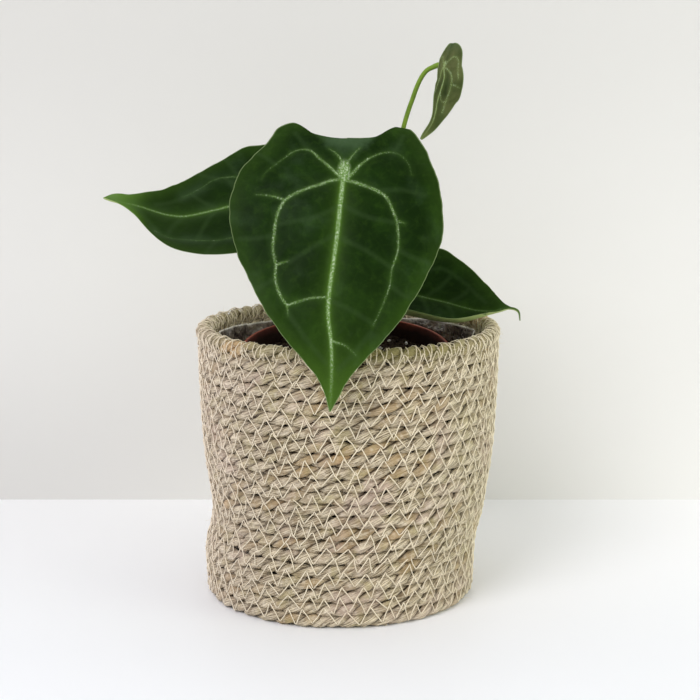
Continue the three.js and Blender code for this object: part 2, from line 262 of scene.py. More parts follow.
def run_of(line):
    """Length along a line at each of its points."""
    return np.concatenate([[0], np.cumsum(np.linalg.norm(np.diff(line, axis=0), axis=1))])


def unit(vectors):
    return vectors / np.maximum(np.linalg.norm(vectors, axis=-1, keepdims=True), 1e-9)


def grid_skin(points, layers, uv, gap_every=0):
    """A welded skin over a grid of points, with one value for each point in every layer.
    With gap_every, the strip of faces after that many strips is left out."""
    across, along = points.shape[:2]
    bm = bmesh.new()
    bmesh.ops.create_grid(bm, x_segments=along - 1, y_segments=across - 1, size=0.5)
    if gap_every:
        bm.faces.index_update()
        strips = [f for f in bm.faces if (f.index // (along - 1)) % (gap_every + 1) == gap_every]
        bmesh.ops.delete(bm, geom=strips, context="FACES")
    mesh = bpy.data.meshes.new("grid")
    bm.to_mesh(mesh)
    bm.free()
    mesh.vertices.foreach_set("co", (points * MM).ravel())
    for name, values in layers.items():
        values = np.broadcast_to(values, (across, along)).astype(np.float32)
        mesh.attributes.new(name, "FLOAT", "POINT").data.foreach_set("value", values.ravel())
    corners = np.empty(len(mesh.loops), int)
    mesh.loops.foreach_get("vertex_index", corners)
    mesh.uv_layers.new(name="UVMap").data.foreach_set("uv", uv.reshape(-1, 2)[corners].ravel())
    bm = bmesh.new()
    bm.from_mesh(mesh)
    bpy.data.meshes.remove(mesh)
    bmesh.ops.remove_doubles(bm, verts=bm.verts, dist=1e-6)
    bmesh.ops.recalc_face_normals(bm, faces=bm.faces)
    return bm


def tubes(lines, radii, sides, outward, tone=0.0, rough=0.0, flat=1.0):
    """Closed tubes along lines[tube, point], each with its seam on the side away from outward.
    They are round, or flat times as wide as they are thick in the outward direction."""
    first = lines[:, :1] - 0.05 * (lines[:, 1:2] - lines[:, :1])
    last = lines[:, -1:] + 0.05 * (lines[:, -1:] - lines[:, -2:-1])
    count = lines.shape[:2]
    outward = np.broadcast_to(outward, lines.shape)
    outward = np.concatenate([outward[:, :1], outward, outward[:, -1:]], 1)
    lines = np.concatenate([first, lines, last], 1)
    radii = np.pad(np.broadcast_to(radii, count), ((0, 0), (1, 1)))
    tone = np.pad(np.broadcast_to(tone, count), ((0, 0), (1, 1)), "edge")
    ahead = unit(np.gradient(lines, axis=1))
    side = unit(outward - (outward * ahead).sum(-1, keepdims=True) * ahead)
    up = np.cross(ahead, side)
    turn = np.linspace(-math.pi, math.pi, sides + 1)[None, :, None, None]
    ring = np.cos(turn) * side[:, None] + flat * np.sin(turn) * up[:, None]
    uneven = 1 + rough * np.random.default_rng(sides).normal(0, 0.5, (*ring.shape[:3], 1))
    uneven[:, -1] = uneven[:, 0]
    points = lines[:, None] + radii[:, None, :, None] * ring * uneven
    run = np.stack([run_of(line) for line in lines])[:, None] + 0 * turn[..., 0]
    uv = np.stack([run * MM, (turn[..., 0] / math.tau + 0.5) + 0 * run], -1)
    tone = tone[:, None] + 0 * run
    shape = (-1, lines.shape[1])
    return grid_skin(points.reshape(*shape, 3), {"tone": tone.reshape(shape)},
                     uv.reshape(*shape, 2), gap_every=sides)


def new_piece(name, bm, material, replaced=None):
    """A shaded piece from a bmesh, which rides on the part and takes its finish from a slot."""
    mesh = bpy.data.meshes.new(name)
    bm.to_mesh(mesh)
    bm.free()
    mesh.shade_smooth()
    mesh.materials.append(material)
    piece = bpy.data.objects.new(name, mesh)
    bpy.context.scene.collection.objects.link(piece)
    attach(piece, "root")
    if replaced:
        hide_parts(replaced)
    return piece


def new_group(name, inputs, outputs):
    """A node group: its nodes, the sockets to read from and the sockets to fill."""
    group = bpy.data.node_groups.new(name, "ShaderNodeTree")
    for way, sockets in (("INPUT", inputs), ("OUTPUT", outputs)):
        for socket, kind in sockets.items():
            group.interface.new_socket(socket, in_out=way, socket_type="NodeSocket" + kind)
    entry = group.nodes.new("NodeGroupInput").outputs
    leave = group.nodes.new("NodeGroupOutput").inputs
    return Nodes(group), entry, leave


def finish(nodes, shader, colour, height, distance, strength=1.0):
    """Gives a shader its colour and its relief."""
    nodes.put(colour, shader.inputs["Base Color"])
    bump = nodes.add("Bump", {"Height": height, "Strength": strength, "Distance": distance})
    nodes.put(bump.outputs[0], shader.inputs["Normal"])


# Fine streaks along a strand: its own map gives metres along and turns around.
nodes, entry, leave = new_group("fibre_streaks", {"Vector": "Vector", "Twist": "Float"},
                                {"Streak": "Float"})
along, around, _ = nodes.split(entry["Vector"])
along = nodes.times(along, 1000)
slant = nodes.times(along, entry["Twist"])
spot = nodes.add("CombineXYZ", {0: nodes.times(along, 0.13), 1: nodes.scaled(around, 26, slant)})
nodes.put(nodes.noise(spot.outputs[0], 1.0, 4.0, 0.65), leave["Streak"])
fibre_streaks = nodes.tree


def fibre_material(name, dark, light, tan, twist, depth, stain_and_shade):
    """Plant fibre with streaks along each strand. The stain-and-shade share says how much shows of
    the patches, of the painted shade between the strands and of the darker top row of the rim."""
    material, nodes, shader = new_material(name, {"Roughness": 0.85, "Specular IOR Level": 0.25,
                                                  "Sheen Weight": 0.05, "Sheen Roughness": 0.6})
    spot, flat_map, tone = nodes.place(), nodes.place("UV"), nodes.layer("tone")
    streak = nodes.add("Group", {"Vector": flat_map, "Twist": twist}, node_tree=fibre_streaks)
    streak = streak.outputs["Streak"]
    colour = nodes.over(dark, light, streak, 0.34, 0.63)
    colour = nodes.over(colour, tan, tone, 0.5, 1.1, 0.0, 0.75)
    for scale, share, patch in PATCHES:
        blotch = nodes.noise(spot, scale, 2.0)
        colour = nodes.over(colour, patch, blotch, 0.5, 0.72, 0.0, share * stain_and_shade)
    # Painted shade: the side of each strand that turns towards the other strand is painted dark.
    from_seam = nodes.maths("ABSOLUTE", nodes.maths("SUBTRACT", nodes.split(flat_map)[1], 0.5))
    colour = nodes.over(colour, PAINTED_SHADE_BETWEEN_STRANDS, from_seam, 0.23, 0.35, 0.0, 0.92 * stain_and_shade)
    aside, _, high = nodes.split(spot)
    # Painted light: paler and pinker towards the left, paler and greener at the far right.
    colour = nodes.over(colour, PAINTED_LIGHT_LEFT, aside, -0.08, -0.02, 0.24, 0.0)
    colour = nodes.over(colour, PAINTED_LIGHT_RIGHT, aside, 0.035, 0.08, 0.0, 0.2)
    # The top row of the rim is darker, least at the left and at the far right.
    top_row_darkening = nodes.times(nodes.ramp(high, 0.142, 0.15, 0.0, 0.95 * stain_and_shade),
                       nodes.ramp(aside, -0.05, 0.01, 0.4, 1.0))
    top_row_darkening = nodes.times(top_row_darkening, nodes.ramp(aside, 0.05, 0.08, 1.0, 0.55))
    colour = nodes.mix(top_row_darkening, colour, DARK_TOP_ROW)
    colour = nodes.over(colour, GOLDEN, tone, 1.3, 2.0, 0.0, 0.8)
    finish(nodes, shader, colour, streak, depth, 0.8)
    return material


jute = fibre_material("jute", JUTE_DARK, JUTE_LIGHT, JUTE_TAN, twist=-0.9, depth=0.002, stain_and_shade=1.0)

dense_turns = np.linspace(0.03, ROPE_END, 90000)
dense_run = run_of(rope_line(dense_turns))
marks = np.arange(0, dense_run[-1], RING_STEP)
turn_marks = np.interp(marks, dense_run, dense_turns)
rope_centre = rope_line(turn_marks, 0.25 * wobble(marks, 47, 1), 0.2 * wobble(marks, 61, 2))
rope_taper = taper(turn_marks)
base_run = np.interp(BASE_TURNS, dense_turns, dense_run)


def wound(turns, run):
    """How far the two strands have wound round each other, in radians."""
    coiled = math.pi * LOBES_PER_TURN * np.maximum(turns - BASE_TURNS, 0)
    return coiled + math.tau * np.minimum(run - base_run, 0) / LAY + 1.1 * wobble(run, 140, 3)


def swell(turns, run):
    """The last row bulges between the threads that bind it, most at the left of the back."""
    share = smooth(turns, ROPE_END - 1, ROPE_END - 0.95) * (1 - 0.6 * smooth(turns, *SWELL_EASES))
    return 1 - SWELL * share * np.cos(2 * wound(turns, run))


golden = sum(np.exp(-((turn_marks - at) / wide) ** 2) for at, wide in GOLDEN_PLACES)
bulge = swell(turn_marks, marks)
last_row = 0.15 * smooth(turn_marks, ROPE_END - 1, ROPE_END - 0.9)
strands = []
for strand in range(2):
    twist = wound(turn_marks, marks) + math.pi * strand
    side = np.cos(twist)[:, None] * outward_at(turn_marks) + np.sin(twist)[:, None] * [0, 0, 1.0]
    loose = (1 + 0.2 * wobble(marks, 29, 10 + strand) + last_row) * bulge
    line = rope_centre + (STRAND_OFFSET * loose * rope_taper)[:, None] * side
    radii = STRAND * rope_taper * bulge * (1 + 0.12 * wobble(marks, 17, 20 + strand))
    tone = wobble(marks, 73, 30 + strand) + 0.5 * wobble(marks, 410, 40)
    strands.append((line, side, radii, np.maximum(tone, 2.2 * golden)))
strand_lines, strand_sides, strand_radii, strand_tones = (np.stack(part) for part in zip(*strands))


def pressed(reach):
    """How far the rope reaches from its middle where it lies flat on the table or the liner."""
    given = 1 - np.exp((PRESSED_FROM - np.maximum(reach, PRESSED_FROM)) / PRESSED_GIVE)
    return np.where(reach > PRESSED_FROM, PRESSED_FROM + PRESSED_GIVE * given, reach)


for name, start, end in (
    ("rope_base", 0, BASE_TURNS),
    ("rope_wall_low", BASE_TURNS, 21),
    ("rope_wall_high", 21, 32),
):
    part = (turn_marks >= start) & (turn_marks < end + 0.006)
    bm = tubes(strand_lines[:, part], strand_radii[:, part], STRAND_SIDES, strand_sides[:, part],
               strand_tones[:, part], FIBRE_ROUGHNESS, STRAND_FLAT)
    places = np.array([vert.co for vert in bm.verts]) / MM
    above = places[:, 2] - BASE_MIDDLE
    if name == "rope_base":
        places[:, 2] = BASE_MIDDLE + np.where(above < 0, -1, 1) * pressed(np.abs(above))
    else:
        places[:, 2] = np.where(above < 0, BASE_MIDDLE - pressed(-above), places[:, 2])
        axis = np.stack([lean(places[:, 2]), 0 * places[:, 2]], -1)
        radius = np.linalg.norm(places[:, :2] - axis, axis=1)
        middle = np.interp(places[:, 2], BELLY[:, 0], BELLY[:, 1]) - ROPE / 2
        inward = (middle - pressed(middle - radius)) / radius
        places[:, :2] = axis + (places[:, :2] - axis) * inward[:, None]
    for vert, place in zip(bm.verts, places):
        vert.co = place * MM
    new_piece(name, bm, jute, "basket")


# Stitching: a cream cotton thread sewn in a zigzag over every joint between two rows of rope, on
# both faces of the wall and under the base. Its points dip into the middle of the rows.
THREAD = 0.3
THREAD_SIDES = 4
ZIGZAG = 5.0
STITCH_SHARES = np.array([0, 0.1, 0.5, 0.9])
STITCH_RAISED = [-0.35, 0.32, -0.12, 0.32]
THREAD_DARK, THREAD_LIGHT, THREAD_TAN = (0.78, 0.67, 0.48), (0.98, 0.9, 0.72), (0.85, 0.7, 0.46)


def zigzag(start, end, key, place):
    """A zigzag between two turns: place(turns, height, raised) gives where the thread lies."""
    draw = np.random.default_rng(key)
    first, last = np.interp((start, end), dense_turns, dense_run)
    steps = ZIGZAG * draw.uniform(0.62, 1.4, int((last - first) / ZIGZAG) + 2)
    ends = np.concatenate([[0], np.cumsum(steps)])
    ends = ends[ends < last - first] + first
    heights = draw.uniform(0.85, 1.65, len(ends)) * np.where(np.arange(len(ends)) % 2, -1, 1)
    runs = (ends[:-1, None] + np.diff(ends)[:, None] * STITCH_SHARES).ravel()
    climb = STITCH_SHARES + [0, 0, 0, 0.03]
    rise = (heights[:-1, None] + np.diff(heights)[:, None] * climb).ravel()
    rise = rise + draw.normal(0, 0.07, len(rise))
    raised = np.tile(STITCH_RAISED, len(ends) - 1)
    turns = np.interp(runs, dense_run, dense_turns)
    line = place(turns, rise * ROW_PITCH / 2, raised)
    return tubes(line[None], THREAD, THREAD_SIDES, outward_at(turns)[None] + [0, 0, 0.2])


thread = fibre_material("stitch_thread", THREAD_DARK, THREAD_LIGHT, THREAD_TAN,
                        twist=0.9, depth=0.0001, stain_and_shade=0.3)
for name, start, end, key, place in (
    ("stitches_outside", BASE_TURNS + 0.02, ROPE_END - 1.1, 51, lambda turns, rise, raised:
     rope_line(turns, ROPE / 2 + 0.35 + raised, ROW_PITCH / 2 + rise)),
    ("stitches_inside", BASE_TURNS + 17, ROPE_END - 1.1, 52, lambda turns, rise, raised:
     rope_line(turns, -ROPE / 2 - 0.6 - raised, ROW_PITCH / 2 + rise)),
    ("stitches_base", 1.0, BASE_TURNS - 0.3, 53, lambda turns, rise, raised:
     rope_line(turns, ROPE / 2 + rise, -3.3 - 0.4 * raised)),
):
    new_piece(name, zigzag(start, end, key, place), thread)


# Rim whipping: the same cream thread, wound round the last row of rope in long turns, once each
# way, so that it binds the rim.
WHIPPING_REACH = 4.5
WHIPPING_POINTS = 9
runs_from = np.interp(ROPE_END - 1.08, dense_turns, dense_run)
for name, direction, pitch, key in (
    ("rim_whipping_a", 1, 4.9, 54),
    ("rim_whipping_b", -1, 6.7, 55),
):
    runs = np.arange(runs_from, dense_run[-1] - 4, pitch / WHIPPING_POINTS)
    turns = np.interp(runs, dense_run, dense_turns)
    wind = direction * math.tau * (runs + 1.6 * wobble(runs, 23, key)) / pitch
    far = (WHIPPING_REACH + 0.2 * wobble(runs, 5, key + 9)) * taper(turns)
    far = far * (0.3 + 0.7 * swell(turns, runs))
    line = rope_line(turns, far * np.cos(wind), far * np.sin(wind))
    new_piece(name, tubes(line[None], THREAD, THREAD_SIDES, outward_at(turns, wind)[None]),
              thread)


# Loose fibres: fine hairs of jute, the ends of the rope's own fibres, which stand out of it all
# over the wall and most of all on the last row, at the rim.
HAIRS = 4000
RIM_HAIRS = HAIRS // 4
HAIR_LENGTHS = (1.0, 4.6)
HAIR_RADII = 0.07 * np.array([1, 1, 0.8, 0.4])
HAIR_ROOT = 3.2
draw = np.random.default_rng(61)
hair_turns = np.concatenate([draw.uniform(BASE_TURNS, ROPE_END, HAIRS - RIM_HAIRS),
                             draw.uniform(ROPE_END - 1.2, ROPE_END, RIM_HAIRS)])
tilt = draw.uniform(-1.0, 1.3, HAIRS)
roots = rope_line(hair_turns, HAIR_ROOT * np.cos(tilt), HAIR_ROOT * np.sin(tilt))
outward = outward_at(hair_turns, tilt)
sideways = outward_at(hair_turns + 0.25) * draw.choice([-1, 1], HAIRS)[:, None]
heading = unit(0.4 * outward + draw.uniform(0.3, 1.6, HAIRS)[:, None] * sideways
               + draw.normal(0, 0.3, (HAIRS, 3)))
lengths = draw.uniform(*HAIR_LENGTHS, HAIRS)[:, None, None] * np.linspace(0, 1, 4)[:, None]
bend = draw.normal(0, 0.05, (HAIRS, 1, 3)) + [0, 0, -0.02]
hair_lines = roots[:, None] + lengths * heading[:, None] + lengths ** 2 * bend
hair_lines[..., 2] = np.maximum(hair_lines[..., 2], 0.3 + 0.01 * lengths[..., 0])
new_piece("loose_fibres", tubes(hair_lines, HAIR_RADII, 3, outward[:, None]), thread)


# Liner: a bag of thin grey plastic film pushed into the basket. It lies against the rope, is
# bunched up under the pot, and its crumpled edge stands free above the pot.
FILM_TOP = 145
FILM_THICKNESS = 0.15
FILM_FLOOR = 7.7
FILM_GAP = 0.75
FOLD_SIZE, CREASE_SIZE = 24, 8.5
EDGE_LIFTS = ((0.1, 4.5, 0.35), (2.2, -2, 0.3), (2.75, 1.2, 0.25))
POT_TILT = math.radians(7.5)
POT_BASE = np.array([3.2, 14.75, 26.97])
FILM_DARK, FILM_LIGHT = (0.032, 0.024, 0.021), (0.27, 0.225, 0.19)
FILM_FOLD_HIGHLIGHT, FILM_CRINKLE_HIGHLIGHT, FILM_EDGE = (0.54, 0.48, 0.4), (0.5, 0.47, 0.43), (0.78, 0.74, 0.67)

film_angles = np.linspace(0, math.tau, 321)[:, None]
film_heights = np.concatenate([np.linspace(8, 110, 26), np.linspace(112, FILM_TOP, 30)])
floor_radii = np.linspace(0.01, 64, 26)
wall_radii = np.interp(film_heights, BELLY[:, 0], BELLY[:, 1]) - ROPE - FILM_GAP
profile_radius = np.concatenate([floor_radii, [66.4], wall_radii])
profile_height = np.concatenate([floor_radii * 0 + FILM_FLOOR, [7.9], film_heights + 0.6])
radius = profile_radius + 0 * film_angles
height = profile_height + 0 * film_angles
angle = film_angles + 0 * radius


def crumple(x, y, z, size):
    """Sharp folds of crumpled film, from about 0 to 1."""
    value = [noise.ridged_multi_fractal(Vector(p) / size, 0.9, 2.1, 3, 0.9, 1.8) for p in
             zip(x.ravel(), y.ravel(), z.ravel())]
    return np.clip(np.array(value).reshape(x.shape) / 2.2, 0, 1)


film_x, film_y = radius * np.cos(angle), radius * np.sin(angle)
folds = crumple(film_x, film_y, height * 0.8, FOLD_SIZE)
creases = crumple(film_x, film_y, height * 0.9 + 40, CREASE_SIZE)
folds[-1], creases[-1] = folds[0], creases[0]
rise = smooth(height, 30, FILM_TOP)
ripple = 0.5 - 0.5 * np.sin(7 * angle + 2 * np.sin(2 * angle) + height / 30)
on_wall = smooth(radius, 60, 66)
fold_depth = 0.6 + 5.4 * smooth(height, 105, 138)
crease_depth = 0.3 + 2.9 * smooth(height, 105, 130)
drawn_in = on_wall * (0.3 + 0.5 * smooth(height, 96, 112) + 1.6 * rise * ripple
                      + fold_depth * folds + crease_depth * creases)
film_x = (radius - drawn_in) * np.cos(angle) + lean(height)
film_y = (radius - drawn_in) * np.sin(angle)
edge_wave = 3 * np.sin(2 * angle + 4.2) * np.cos(3 * angle)
edge_wave = edge_wave + 1.8 * (folds - 0.5) + 1.2 * (creases - 0.5)
for at, lift, spread in EDGE_LIFTS:
    aside = np.remainder(angle - at + math.pi, math.tau) - math.pi
    edge_wave = edge_wave + lift * np.exp(-(aside / spread) ** 2)
film_z = height + rise * edge_wave
away = np.hypot(film_x - POT_BASE[0], film_y - POT_BASE[1])
seat = POT_BASE[2] + (film_y - POT_BASE[1]) * math.tan(POT_TILT) - 0.4
under_pot = (1 - smooth(away, 44, 59)) * (1 - on_wall)
film_z = film_z + under_pot * (seat - film_z)
film_z = film_z + (1 - on_wall) * smooth(away, 46, 52) * 2.5 * folds
film_points = np.stack([film_x, film_y, film_z], -1)
film_points[-1] = film_points[0]
up_share = np.linspace(0, 1, len(profile_radius))
film_layers = {"edge": smooth(up_share, 0.985, 1), "folds": 0.5 * folds + 0.5 * creases}
bm = grid_skin(film_points, film_layers, np.stack([angle / math.tau, height / 200], -1))
bmesh.ops.solidify(bm, geom=bm.faces, thickness=FILM_THICKNESS * MM)

# Uneven grain for plain matter: a colour between two tones and a height for the relief.
nodes, entry, leave = new_group(
    "grain", {"Vector": "Vector", "Scale": "Float", "Dark": "Color", "Light": "Color"},
    {"Color": "Color", "Height": "Float"})
coarse = nodes.noise(entry["Vector"], entry["Scale"], 5.0, 0.6)
fine = nodes.noise(entry["Vector"], nodes.times(entry["Scale"], 7.3), 2.0)
both = nodes.scaled(fine, 0.35, nodes.times(coarse, 0.65))
nodes.put(nodes.over(entry["Dark"], entry["Light"], both, 0.34, 0.66), leave["Color"])
nodes.put(both, leave["Height"])
grain = nodes.tree


def grained(nodes, scale, dark, light):
    """The grain group in a material: returns its colour and its height."""
    values = {"Vector": nodes.place(), "Scale": scale, "Dark": dark, "Light": light}
    placed = nodes.add("Group", values, node_tree=grain)
    return placed.outputs["Color"], placed.outputs["Height"]


def grainy_material(name, constants, scale, dark, light, distance):
    """A material that is nothing but grain."""
    material, nodes, shader = new_material(name, constants)
    finish(nodes, shader, *grained(nodes, scale, dark, light), distance)
    return material


film, nodes, shader = new_material("liner_film", {"Roughness": 0.26, "Specular IOR Level": 0.6})
colour, relief = grained(nodes, 60, FILM_DARK, FILM_LIGHT)
# Painted highlights: the film is paler on its folds and along thin crinkle lines.
colour = nodes.over(colour, FILM_FOLD_HIGHLIGHT, nodes.layer("folds"), 0.4, 0.75, 0.0, 0.75)
crinkle = nodes.maths("SUBTRACT", nodes.noise(nodes.place(), 60, 1.0, 0.5), 0.5)
crinkle = nodes.maths("ABSOLUTE", crinkle)
colour = nodes.over(colour, FILM_CRINKLE_HIGHLIGHT, crinkle, 0.0, 0.01, 0.3, 0.0)
colour = nodes.mix(nodes.layer("edge"), colour, FILM_EDGE)
finish(nodes, shader, colour, nodes.scaled(crinkle, -2.5, relief), 0.0025)
new_piece("liner_film", bm, film, "liner")


# Nursery pot: thin moulded plastic the colour of terracotta, with a stepped band under its rim, a
# foot ring and drain holes. It stands tipped towards the viewer on the bunched film.
POT_HEIGHT = 113
POT_STEPS = 112
POT_PROFILE = [(0, 2), (37.5, 2), (38.4, 1.6), (39, 0.3), (39.6, 0), (42.4, 0), (43, 0.6),
               (55.55, 101.4), (55.8, 101.9), (57.0, 102.2), (57.25, 102.8), (58.9, 111.8),
               (58.9, 112.6), (58.5, 113.0), (57.4, 113.1), (57.0, 112.8), (56.8, 112.2),
               (54.6, 102.2), (42.6, 5.0), (41.4, 3.4), (39.5, 3.1), (0, 3.1)]
DRAIN_HOLES = 8
DRAIN_RING = 31
DRAIN_RADIUS = 3.5
POT_DARK, POT_LIGHT = (0.155, 0.034, 0.019), (0.27, 0.07, 0.045)
UPPER_STAIN_AND_SHADE, LOWER_STAIN_AND_SHADE = (0.05, 0.012, 0.008), (0.009, 0.004, 0.0025)
STAIN_AND_SHADE_LINE = 111.2


def turned(profile, x, y, z, steps):
    """A closed body turned round an upright axis, from a profile of radius and height."""
    bm = bmesh.new()
    ring = [bm.verts.new(((x + far) * MM, y * MM, (z + high) * MM)) for far, high in profile]
    edges = [bm.edges.new(pair) for pair in zip(ring, ring[1:])]
    bmesh.ops.spin(bm, geom=ring + edges, cent=(x * MM, y * MM, 0), axis=(0, 0, 1), dvec=(0, 0, 0),
                   angle=math.tau, steps=steps, use_merge=True, use_duplicate=False)
    bmesh.ops.remove_doubles(bm, verts=bm.verts, dist=1e-6)
    bmesh.ops.recalc_face_normals(bm, faces=bm.faces)
    return bm


pot_place = Matrix.Translation(Vector(POT_BASE * MM)) @ Matrix.Rotation(POT_TILT, 4, "X")
bm = turned(POT_PROFILE, 0, 0, 0, POT_STEPS)
bmesh.ops.transform(bm, matrix=pot_place, verts=bm.verts)

terracotta, nodes, shader = new_material("terracotta_plastic", {"Roughness": 0.5,
                                                                "Specular IOR Level": 0.05})
colour, relief = grained(nodes, 45, POT_DARK, POT_LIGHT)
frame_of_pot = {"Vector": nodes.place(), "Location": tuple(POT_BASE * MM),
                "Rotation": (POT_TILT, 0, 0)}
spot = nodes.add("Mapping", frame_of_pot, vector_type="TEXTURE").outputs[0]
x, y, high = nodes.split(spot)
across = nodes.add("CombineXYZ", {0: x, 1: y}).outputs[0]
across = nodes.add("VectorMath", {0: across}, operation="LENGTH").outputs["Value"]
middle_of_wall = nodes.maths("MAXIMUM", nodes.scaled(high, 0.1235, 0.04198),
                             nodes.scaled(high, 0.22, 0.03212))
past_wall = nodes.maths("SUBTRACT", across, middle_of_wall)
# Painted shade with a soil stain: the inside of the wall is painted dark brown to near black from
# just under the rim down.
inside = nodes.ramp(past_wall, 0.0002, 0.0005, 1.0, 0.0)
uneven_edge = nodes.noise(spot, 140, 4.0)
below = nodes.scaled(uneven_edge, 0.004, nodes.maths("SUBTRACT", STAIN_AND_SHADE_LINE * MM, high))
upper_stain_and_shade_share = nodes.times(inside, nodes.ramp(below, -0.0015, 0.001, 0.0, 0.9))
lower_stain_and_shade_share = nodes.times(inside, nodes.ramp(below, 0.0, 0.005, 0.0, 0.95))
colour = nodes.mix(lower_stain_and_shade_share, nodes.mix(upper_stain_and_shade_share, colour, UPPER_STAIN_AND_SHADE), LOWER_STAIN_AND_SHADE)
finish(nodes, shader, colour, relief, 0.00015)
pot_piece = new_piece("pot", bm, terracotta, "nursery_pot")

bm = bmesh.new()
for hole in range(DRAIN_HOLES):
    turn = (hole + 0.5) / DRAIN_HOLES * math.tau
    at = (DRAIN_RING * MM * math.cos(turn), DRAIN_RING * MM * math.sin(turn), 2.5 * MM)
    bmesh.ops.create_cone(bm, cap_ends=True, segments=24, radius1=DRAIN_RADIUS * MM,
                          radius2=DRAIN_RADIUS * MM, depth=8 * MM,
                          matrix=pot_place @ Matrix.Translation(at))
mesh = bpy.data.meshes.new("drain_cutter")
bm.to_mesh(mesh)
bm.free()
cutter = bpy.data.objects.new("drain_cutter", mesh)
bpy.context.scene.collection.objects.link(cutter)
drain = pot_piece.modifiers.new("drain_holes", "BOOLEAN")
drain.operation = "DIFFERENCE"
drain.solver = "EXACT"
drain.object = cutter
depsgraph = bpy.context.evaluated_depsgraph_get()
holed = bpy.data.meshes.new_from_object(pot_piece.evaluated_get(depsgraph))
pot_piece.modifiers.clear()
pot_piece.data = holed
bpy.data.objects.remove(cutter)


# Soil: damp dark peat with crumbs and white grains of perlite, filling the pot to 10 mm below
# its rim.
SOIL_TOP = 103
SOIL_FLOOR, SOIL_CORNER = 3.5, 41.5
PEAT_DARK, PEAT_LIGHT = (0.006, 0.0035, 0.002), (0.035, 0.021, 0.012)
PERLITE_DARK, PERLITE_LIGHT = (0.42, 0.4, 0.37), (0.85, 0.84, 0.81)

soil_turns = np.linspace(0, math.tau, 161)[:, None]
inner = np.interp(SOIL_TOP, [0, POT_HEIGHT], [43, 57.4]) - 1.9
soil_profile = [(0.01, SOIL_FLOOR), (20, SOIL_FLOOR), (38, SOIL_FLOOR), (SOIL_CORNER, 6)]
soil_profile += [(SOIL_CORNER + (inner - SOIL_CORNER) * s, 6 + 96 * s)
                 for s in (0.25, 0.5, 0.75, 1)]
soil_profile += [(inner * s, SOIL_TOP) for s in np.linspace(0.985, 0.001, 44)]
soil_radius, soil_level = np.array(soil_profile).T
radius = soil_radius + 0 * soil_turns
x, y = radius * np.cos(soil_turns), radius * np.sin(soil_turns)


def soil_height(x, y):
    """Height of the soil's surface in the pot, at a place across it."""
    value = 0.9 * (math.sin(x / 5.3 + 1) * math.cos(y / 4.7) + math.sin(y / 7.9 - x / 9)) - 0.5
    return value + 1.3 * noise.fractal(Vector((x, y, 3)) / 5, 0.8, 2.2, 4) + 0.04 * y


lumps = np.array([soil_height(a, b) for a, b in zip(x.ravel(), y.ravel())]).reshape(x.shape)
lumps[-1] = lumps[0]
level = soil_level + (soil_level > SOIL_TOP - 0.5) * lumps
pot_turn = np.array(Matrix.Rotation(POT_TILT, 3, "X"))
soil_points = np.stack([x, y, level], -1) @ pot_turn.T + POT_BASE
soil_points[-1] = soil_points[0]
bm = grid_skin(soil_points, {}, np.stack([x, y], -1) / 200 + 0.5)

peat = grainy_material("peat", {"Roughness": 0.9, "Specular IOR Level": 0.1}, 420,
                       PEAT_DARK, PEAT_LIGHT, 0.0012)
new_piece("soil_body", bm, peat, "soil")


def scattered(count, key, size, reach, squash, detail=1):
    """Small uneven lumps that lie on the soil, from size[0] to size[1] across."""
    draw = np.random.default_rng(key)
    bm = bmesh.new()
    for _ in range(count):
        far, turn = reach * math.sqrt(draw.uniform(0.0, 1)), draw.uniform(0, math.tau)
        x, y = far * math.cos(turn), far * math.sin(turn)
        wide = draw.uniform(*size) / 2
        place = Matrix.Translation(Vector((x, y, SOIL_TOP + soil_height(x, y) + 0.3 * wide)) * MM)
        spin = Matrix.Rotation(draw.uniform(0, 6), 4, Vector(draw.normal(0, 1, 3)).normalized())
        size_m = wide * MM
        shape = Matrix.Diagonal((size_m, size_m * draw.uniform(0.6, 1), size_m * squash, 1))
        made = bmesh.ops.create_icosphere(bm, subdivisions=detail, radius=1,
                                          matrix=pot_place @ place @ spin @ shape)
        for vert in made["verts"]:
            vert.co += Vector(draw.normal(0, 0.12 * size_m, 3))
    return bm


crumbs = scattered(count=520, key=71, size=(1.0, 3.6), reach=52, squash=0.7)
new_piece("soil_crumbs", crumbs, peat)
perlite = grainy_material("perlite", {"Roughness": 0.8}, 900, PERLITE_DARK, PERLITE_LIGHT, 0.0003)
grains = scattered(count=70, key=72, size=(0.9, 2.4), reach=51, squash=0.8, detail=2)
new_piece("perlite_grains", grains, perlite)


# Rootstock: the short upright stem that the petioles grow from, with thick roots that arch down
# through the soil and brown papery remains of old sheaths round it.
CROWN_X, CROWN_Y, CROWN_TOP = 10.0, 6.0, 140
CROWN_PROFILE = [(0, -45), (3.6, -43), (5.9, -33), (6.5, -15), (6.1, -6), (4.9, -2.4), (3.2, -0.6),
                 (0, 0)]
CROWN_STEPS = 28
LONG_EDGE = 4
ROOTS = 8
ROOT_POINTS = 40
CURVE_STEPS = 40
ROOT_START = CROWN_TOP - 29
SHEATHS = ((0.4, 1.5, 24, 2.2), (1.9, 1.3, 19, 3.0), (3.4, 1.6, 27, 1.6), (4.9, 1.2, 16, 3.6))
SHEATH_THICKNESS = 0.25

bm = turned(CROWN_PROFILE, CROWN_X, CROWN_Y, CROWN_TOP, CROWN_STEPS)
long_edges = [edge for edge in bm.edges if edge.calc_length() > LONG_EDGE * MM]
bmesh.ops.subdivide_edges(bm, edges=long_edges, cuts=4, use_grid_fill=True)
bmesh.ops.recalc_face_normals(bm, faces=bm.faces)
for vert in bm.verts:
    away = vert.co - Vector((CROWN_X * MM, CROWN_Y * MM, vert.co.z))
    bump = noise.noise(Vector((vert.co.x * 300, vert.co.y * 300, vert.co.z * 900)))
    vert.co += away * 0.16 * bump

